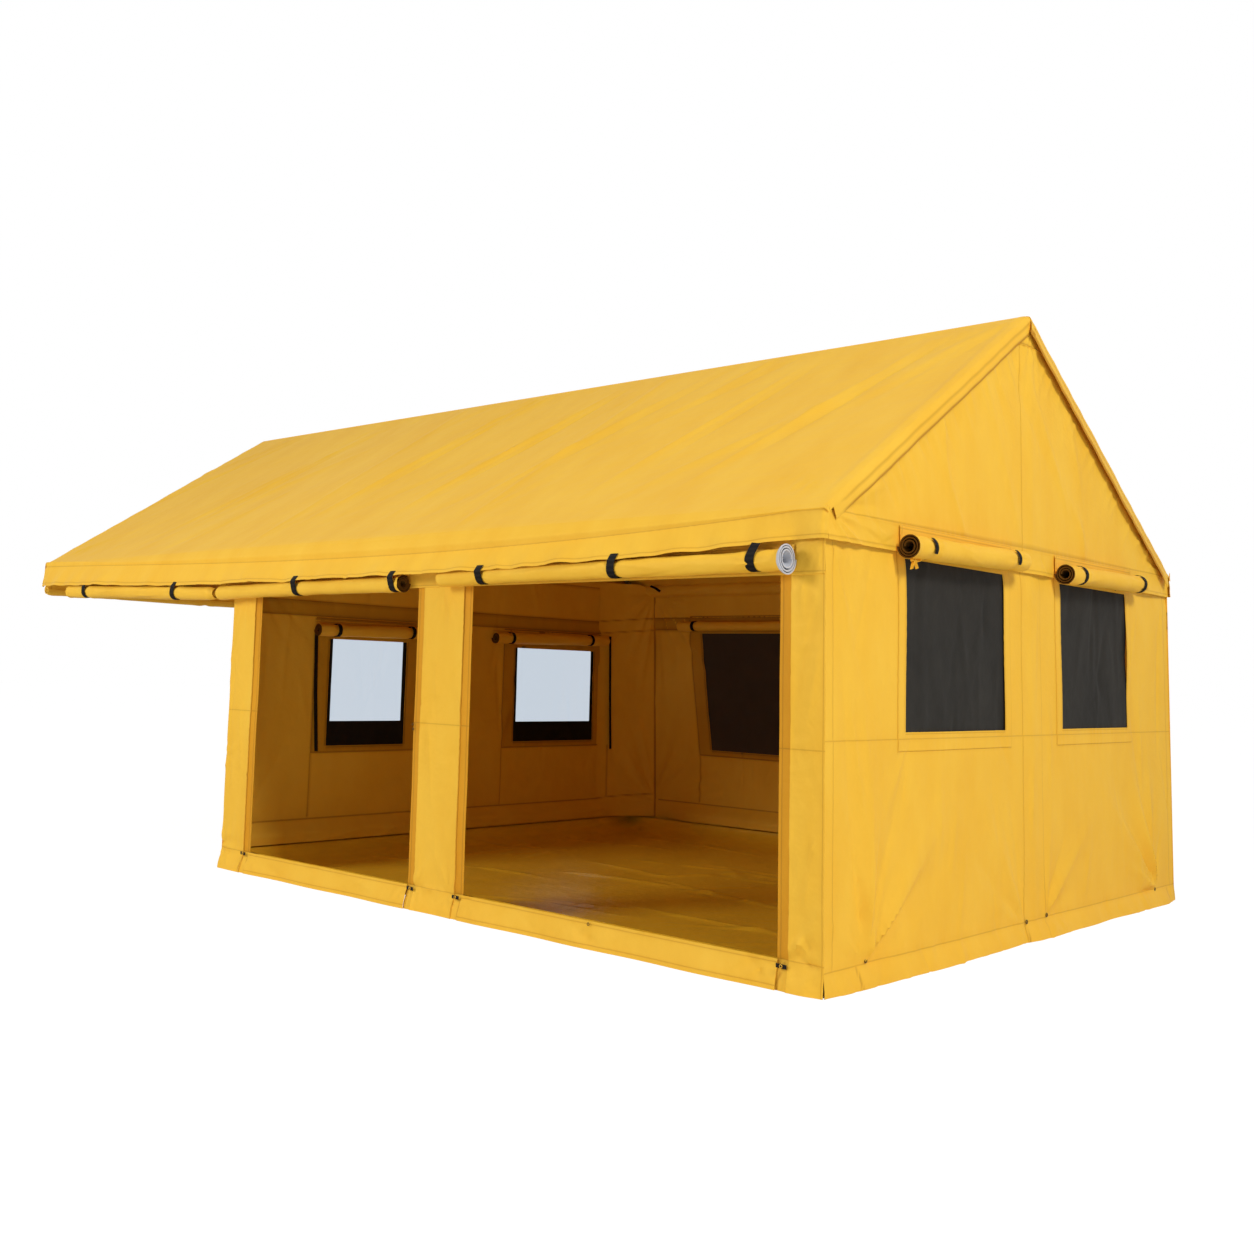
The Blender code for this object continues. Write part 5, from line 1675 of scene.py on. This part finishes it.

# %% [markdown]
# ## The strip that pays out
# The same wall builder makes the strip, with many rows from the seam to the roll.


# %% The strip above a roll
def upper_flap(node):
    """The strip between the sewn line and the roll. In front it leans out to the roll, so that it hangs
    clear of the tabs at the doorway's foot when it is let down."""
    roll = ROLLS[node]
    top, stand = FLAPS[node]
    low, high = COVER_SPANS.get(node, (roll["span"][0] + 0.01, roll["span"][1] - 0.01))
    plane = FLAP_PLANES[roll["held"]]
    lean = FRONT_LEAN if roll["held"] == "wall_front" else 0.0

    def place(u, v, h):
        """u along the roll, v up, and h out from the plane that the strip hangs on."""
        off = plane + roll["out"] * h
        return np.stack([u, off, v] if roll["axis"] == 0 else [off, u, v], axis=-1)

    def down(u, v):
        """Maps 0 to 1 on to the way from the sewn line down to the roll's axis."""
        return top + (np.interp(u, roll["span"], roll["height"]) - top) * v

    def height(u, v):
        """The strip's stand, its lean towards the roll, and small creases that begin under the sewn
        line."""
        rng = np.random.default_rng(int(abs(low) * 777))
        lines = scattered(
            rng, 22, (low, high, top - 0.12, top), 75, 30, (0.03, 0.12), (0.006, 0.016), (0.0006, 0.0018)
        )
        hem = 0.0012 * lap(u, low + 0.02, high - 0.02)
        reached = (top - v) / (top - min(roll["height"]))
        total = stand + lean * reached + 0.0006 * np.sin(u * 9)
        return total + creases(u, v, lines) * ramp(top - v, 0, 0.02) - hem

    rows = [("u", low + 0.014, 0, FAR), ("u", high - 0.014, 0, FAR), ("v", top - 0.012, -FAR, FAR)]
    us = grid_lines(low, high, 0.025, places(rows, "u"))
    flip = (roll["axis"] == 0) == (roll["out"] > 0)
    piece = wall(
        "flap_" + node, us, np.linspace(0, 1, 44), place, height, rows, top=down, flip=flip,
        thickness=0.0012
    )
    middle = (low + high) / 2
    start, end = place(
        np.array([middle, middle]), np.array([top - 0.01, max(roll["height"])]), 0.0 * np.ones(2)
    )
    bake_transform(piece)
    declare(piece, (high - low, top - min(roll["height"])), "hung", [roll["held"]])


for node in ROLLS:
    upper_flap(node)
print("flaps ready")

# %% [markdown]
# ## Straps
# A strap is a ribbon carried along a path: sewn outside the valance, round the front of the roll, under
# it and up behind it. The ones on the window rolls are plain loops.

# %% Strap builder
def ribbon(name, path, width, across, material, thickness=0.002, drift=0.0):
    """A band of this width along a path of points, its width along the direction across."""
    path = np.asarray(path, float)
    steps = np.linalg.norm(np.diff(path, axis=0), axis=1)
    run = np.concatenate([[0], np.cumsum(steps)])
    fine = np.linspace(0, run[-1], max(int(run[-1] / 0.006), 8))
    centre = np.stack([np.interp(fine, run, path[:, i]) for i in range(3)], axis=1)
    kernel = np.array([1, 2, 1]) / 4
    for _ in range(3):
        smooth = np.stack([np.convolve(centre[:, i], kernel, "same") for i in range(3)], axis=1)
        centre[1:-1] = smooth[1:-1]
    offsets = np.linspace(-width / 2, width / 2, 5)
    crown = -0.0006 * (2 * offsets / width) ** 2
    wander = drift * np.sin(np.linspace(0, np.pi, len(centre)))[:, None]
    across = np.asarray(across, float)
    points = centre[:, None, :] + (offsets[None, :, None] + wander[..., None]) * across[None, None, :]
    tangent = np.gradient(centre, axis=0)
    normal = np.cross(tangent, across)
    normal /= np.linalg.norm(normal, axis=1, keepdims=True)
    points = points + crown[None, :, None] * normal[:, None, :]
    uv = np.stack(np.meshgrid(fine, offsets, indexing="ij")[::-1], axis=-1)
    obj = shell(name, points, uv, material, thickness=thickness)
    del obj["area"]
    return obj

# %% [markdown]
# ## Paths round a roll
# A strap beds into its roll, so its path is the roll's own section, less the waist, plus a little
# clearance. It starts where a straight line from the valance touches the roll.


# %% Paths round a roll
def round_roll(node, at, start, end, clear=0.0025, waist=0.004):
    """Points round a roll at one place along it, from a start angle to an end angle in degrees."""
    roll = ROLLS[node]
    turn = np.radians(np.linspace(start, end, 40))
    body = float(roll["radius"](np.array(at)))
    grip = body - waist + clear
    return roll["place"](np.full(40, at), grip * np.cos(turn) - body, grip * np.sin(turn))


def front_centre(node, x):
    """(y, z) of a front roll's axis at X = x, and the radius of a strap round it."""
    roll = ROLLS[node]
    body = float(roll["radius"](np.array(x)))
    centre = roll["place"](np.array(x), np.array(-body), np.array(0.0))[1:]
    return centre, body - 0.0015


def front_strap(name, node, x):
    """The strap of a front roll at X = x, from the valance's outer face round the roll."""
    lip = -float(hem_reach(np.array(x))) - 0.004
    hem = float(hem_height(np.array(x)))
    start = np.array([[x, lip + 0.022, hem + 0.028], [x, lip + 0.010, hem + 0.012], [x, lip, hem - 0.004]])
    centre, grip = front_centre(node, x)
    off = np.array([lip, hem]) - centre
    first = math.degrees(math.atan2(off[1], off[0])) + math.degrees(math.acos(grip / math.hypot(*off)))
    ring = round_roll(node, x, first, 335)
    back = np.array([[x, FRONT_SIDE + 0.001, float(ring[-1][2]) + 0.04]])
    piece = ribbon(
        "strap_" + name, np.concatenate([start, ring, back]), 0.046, (1, 0, 0), WEBBING, drift=-0.008
    )
    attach(piece, "tent")
    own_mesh(piece)
    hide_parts(name)


for node in ("door_curtain_right", "door_curtain_left", "porch_curtain_front"):
    for number, x in enumerate(ROLLS[node]["straps"], 1):
        front_strap(f"{node}_strap_{number}", node, x)

# %% [markdown]
# ## Loops of the window rolls
# They go down with their rolls, so they ride on the rolls' bodies and need no squash.

# %% Loops of the window rolls
LOOP_WIDTH = {"window_cover_right_1": 0.028, "window_cover_right_2": 0.034}
for node, roll in ROLLS.items():
    if not node.startswith("window_cover"):
        continue
    for number, at in enumerate(roll["straps"], 1):
        across = (1, 0, 0) if roll["axis"] == 0 else (0, 1, 0)
        low, high = (150, 236) if node == "window_cover_right_1" else (-60, 300)
        path = round_roll(node, at, -high, -low)
        loop = ribbon(f"loop_{node}_{number}", path, LOOP_WIDTH.get(node, 0.03), across, WEBBING, 0.0014)
        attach(loop, node)
print("straps ready")

# %% [markdown]
# ## Small trim
# Two black strips hang beside the windows of the left wall: the free halves of the hook-and-loop tape.
# Webbing tabs with a brass ring sit at the foot of each doorway, and eyelets take the pegs along the
# closed end.

# %% Strips, tabs and eyelets
def metal_ring(name, spots, normal, size, tube, material):
    """Rings of one size at several spots, each facing along the normal, as one mesh."""
    rounds, facets = 24, 10
    full = 2 * np.pi
    around, across = np.meshgrid(
        np.linspace(0, full, rounds + 1), np.linspace(0, full, facets + 1), indexing="ij"
    )
    reach = size + tube * np.cos(across)
    local = np.stack(
        [tube * np.sin(across), reach * np.cos(around), reach * np.sin(around)], axis=-1
    )[:-1, :-1]
    order = [0, 1, 2] if normal == "x" else [1, 0, 2]
    local = local[..., order].reshape(-1, 3)
    index = np.arange(rounds * facets).reshape(rounds, facets)
    further = np.roll(index, -1, 0)
    quads = np.stack([index, further, np.roll(further, -1, 1), np.roll(index, -1, 1)], axis=-1)
    quads = quads.reshape(-1, 4)[:, :: -1 if normal == "x" else 1]
    points = np.concatenate([local + np.array(spot) for spot in spots])
    faces = np.concatenate([quads + index.size * number for number in range(len(spots))])
    obj = put_in_mesh(name, points, faces, points[:, 1:], np.zeros(len(points)), [material])
    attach(obj, "tent")
    return obj


def black_strip(name, place, path, width, across, stand):
    """A flat strip on a wall along a path of (u, v) points."""
    path = np.array(path, float)
    points = place(path[:, 0], path[:, 1], np.full(len(path), stand))
    strip = ribbon(name, points, width, across, BLACK_CLOTH, 0.0015)
    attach(strip, "tent")
    return strip

# %% [markdown]
# ## Where the trim sits
# The places are read from the photograph and lie on the walls' own surfaces, so that nothing floats.

# %% Strips, tabs and eyelets in place
black_strip(
    "strip_left_2", left_place, [(-1.345, 1.50), (-1.330, 1.1), (-1.303, 0.71)], 0.028, (0, 1, 0), -0.0135
)
black_strip(
    "strip_left_1", left_place, [(1.640, 1.60), (1.655, 1.1), (1.673, 0.67)], 0.026, (0, 1, 0), -0.062
)
corner_path = [(-1.935, 1.905, 2.036), (-1.885, 1.908, 2.018), (-1.835, 1.912, 1.988)]
corner = ribbon("strap_far_corner", corner_path, 0.022, (0.75, 0, 0.66), WEBBING, 0.0015)
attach(corner, "tent")
for number, (x, z) in enumerate(((-1.933, 0.117), (-0.350, 0.111), (0.010, 0.112), (2.004, 0.101)), 1):
    tab = [(x - 0.026, z + 0.001), (x, z), (x + 0.026, z - 0.001)]
    black_strip(f"tab_{number}", front_place, tab, 0.018, (0, 0, 1), 0.0165)
    metal_ring(f"tab_ring_{number}", [(x, FRONT_Y - 0.018, z)], "y", 0.006, 0.0022, BRASS)
front_eyelets = [(-0.392, -2.004, 0.981), (-0.387, -2.004, 0.955)]
metal_ring("eyelets_front", front_eyelets + [(0.931, -2.014, 0.112)], "y", 0.006, 0.002, OLD_METAL)
feet = [(-1.675, 0.112), (-0.106, 0.099), (0.134, 0.108), (1.671, 0.097), (1.669, 0.062)]
metal_ring("eyelets_right", [(RIGHT_X - 0.001, y, z) for y, z in feet], "x", 0.0085, 0.0026, OLD_METAL)

# %% [markdown]
# ## A tie
# One cloth tie hangs in a small bow from the first window roll: two ribbons, a loop and its tails.

# %% A tie
KNOT_AT = (RIGHT_X + 0.062, -1.372, 1.832)
BOW = {
    "loop": [
        (0, 0), (-0.022, 0.010), (-0.040, -0.004), (-0.022, -0.012), (0, 0),
        (0.024, 0.012), (0.044, 0.0), (0.022, -0.010), (0, 0),
    ],
    "tail": [(-0.036, -0.046), (-0.020, -0.022), (0, 0), (0.012, -0.022), (0.020, -0.040)],
}
for part, shape in BOW.items():
    path = [(KNOT_AT[0] + 0.25 * abs(dy), KNOT_AT[1] + dy, KNOT_AT[2] + dz) for dy, dz in shape]
    tie = ribbon(f"tie_right_1_{part}", path, 0.014, (1, 0.2, 0.35), CANVAS, 0.002)
    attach(tie, "window_cover_right_1")
print("trim ready")

# %% [markdown]
# ## Steel
# The tubes keep the measured shapes and get the zinc finish.

# %% Frame finish
for name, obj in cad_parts.items():
    if name.startswith(("post_", "rafter_", "ridge_", "eave_pole", "gable_pole", "porch_tie")):
        obj.data.materials.clear()
        obj.data.materials.append(ZINC)

# %% [markdown]
# ## Ground, light and camera
# A pale floor, a big soft light from the front right, and a second one from the left as a fill. The
# camera stands at the photograph's place: 1.27 m up, off the tent's front right corner.


# %% Ground
def ground():
    """A big pale plane that glows to the camera and to the film, so it shows as the photograph's
    white."""
    mesh = bpy.data.meshes.new("ground")
    size = 60.0
    corners = [(-size, -size, -0.001), (size, -size, -0.001), (size, size, -0.001), (-size, size, -0.001)]
    mesh.from_pydata(corners, [], [(0, 1, 2, 3)])
    obj = bpy.data.objects.new("ground", mesh)
    bpy.context.scene.collection.objects.link(obj)
    material, tree, shader = new_material("pale_ground")
    shader.inputs["Base Color"].default_value = colour("F4F4F4")
    shader.inputs["Roughness"].default_value = 0.9
    glow = add(tree, "ShaderNodeEmission", {"Color": (1, 1, 1, 1), "Strength": 1.08})
    path = add(tree, "ShaderNodeLightPath", {}).outputs
    seen = add(
        tree, "ShaderNodeMath", {0: path["Is Camera Ray"], 1: path["Is Transmission Ray"]},
        operation="MAXIMUM"
    )
    share = add(
        tree, "ShaderNodeMath", {0: seen.outputs[0], 1: 0.89}, operation="MULTIPLY"
    ).outputs["Value"]
    mix = add(
        tree, "ShaderNodeMixShader", {0: share, 1: shader.outputs["BSDF"], 2: glow.outputs["Emission"]}
    )
    tree.links.new(mix.outputs["Shader"], tree.nodes["Material Output"].inputs["Surface"])
    mesh.materials.append(material)


ground()

# %% [markdown]
# ## Lights
# The photograph's light is soft and comes from the front right and above. Two large area lights and a dim
# white world give it, and the world is full white only to the camera, in mirrors and through film.


# %% Lights
def soft_light(name, place, aim, size, power):
    """A square area light at a place, turned to a point."""
    data = bpy.data.lights.new(name, "AREA")
    data.shape = "SQUARE"
    data.size = size
    data.energy = power
    obj = bpy.data.objects.new(name, data)
    bpy.context.scene.collection.objects.link(obj)
    offset = np.array(place) - np.array(aim)
    back = offset / np.linalg.norm(offset)
    right = np.cross((0, 0, 1), back)
    right /= np.linalg.norm(right)
    up = np.cross(back, right)
    obj.matrix_world = Matrix([[right[i], up[i], back[i], place[i]] for i in range(3)] + [[0, 0, 0, 1]])


soft_light("key", (11.5, -3.5, 9.5), (0, 0, 1.2), 2.6, 930)
soft_light("fill", (-4.5, -12.5, 6.0), (-1, 0, 1.2), 4.0, 640)
world = bpy.data.worlds.new("studio")
world.use_nodes = True
bpy.context.scene.world = world
tree = world.node_tree
background = tree.nodes["Background"]
background.inputs["Color"].default_value = (1, 1, 1, 1)
path = add(tree, "ShaderNodeLightPath", {})
seen = add(
    tree, "ShaderNodeMath", {0: path.outputs["Is Camera Ray"], 1: path.outputs["Is Glossy Ray"]},
    operation="MAXIMUM"
)
clear = add(
    tree, "ShaderNodeMath", {0: seen.outputs[0], 1: path.outputs["Is Transmission Ray"]},
    operation="MAXIMUM"
)
strength = add(tree, "ShaderNodeMapRange", {"Value": clear.outputs[0], "To Min": 0.33, "To Max": 1.0})
tree.links.new(strength.outputs["Result"], background.inputs["Strength"])

# %% [markdown]
# ## Camera
# Its place, turn and lens come from fitting a camera to the tent's corners in the photograph. The small
# roll and the shifts keep the uprights as the picture has them.

# %% Camera
CAMERA_AT = (5.1992, -6.8254, 1.2744)
YAW, TILT, ROLL = (math.radians(angle) for angle in (44.245, 6.358, 1.68))


def aim_camera():
    """The camera looks along its yaw and tilt, then turns about its own axis by the roll."""
    look = np.array([-math.sin(YAW) * math.cos(TILT), math.cos(YAW) * math.cos(TILT), math.sin(TILT)])
    level = np.array([math.cos(YAW), math.sin(YAW), 0.0])
    above = np.cross(level, look)
    right = math.cos(ROLL) * level + math.sin(ROLL) * above
    up = -math.sin(ROLL) * level + math.cos(ROLL) * above
    data = bpy.data.cameras.new("camera")
    data.lens = 38.24
    data.sensor_width = 36.0
    data.shift_x = 0.0726
    data.shift_y = -0.0813
    data.clip_end = 200.0
    obj = bpy.data.objects.new("camera", data)
    bpy.context.scene.collection.objects.link(obj)
    obj.matrix_world = Matrix(
        [[right[i], up[i], -look[i], CAMERA_AT[i]] for i in range(3)] + [[0, 0, 0, 1]]
    )
    bpy.context.scene.camera = obj


aim_camera()
bpy.context.scene.view_settings.view_transform = "Standard"
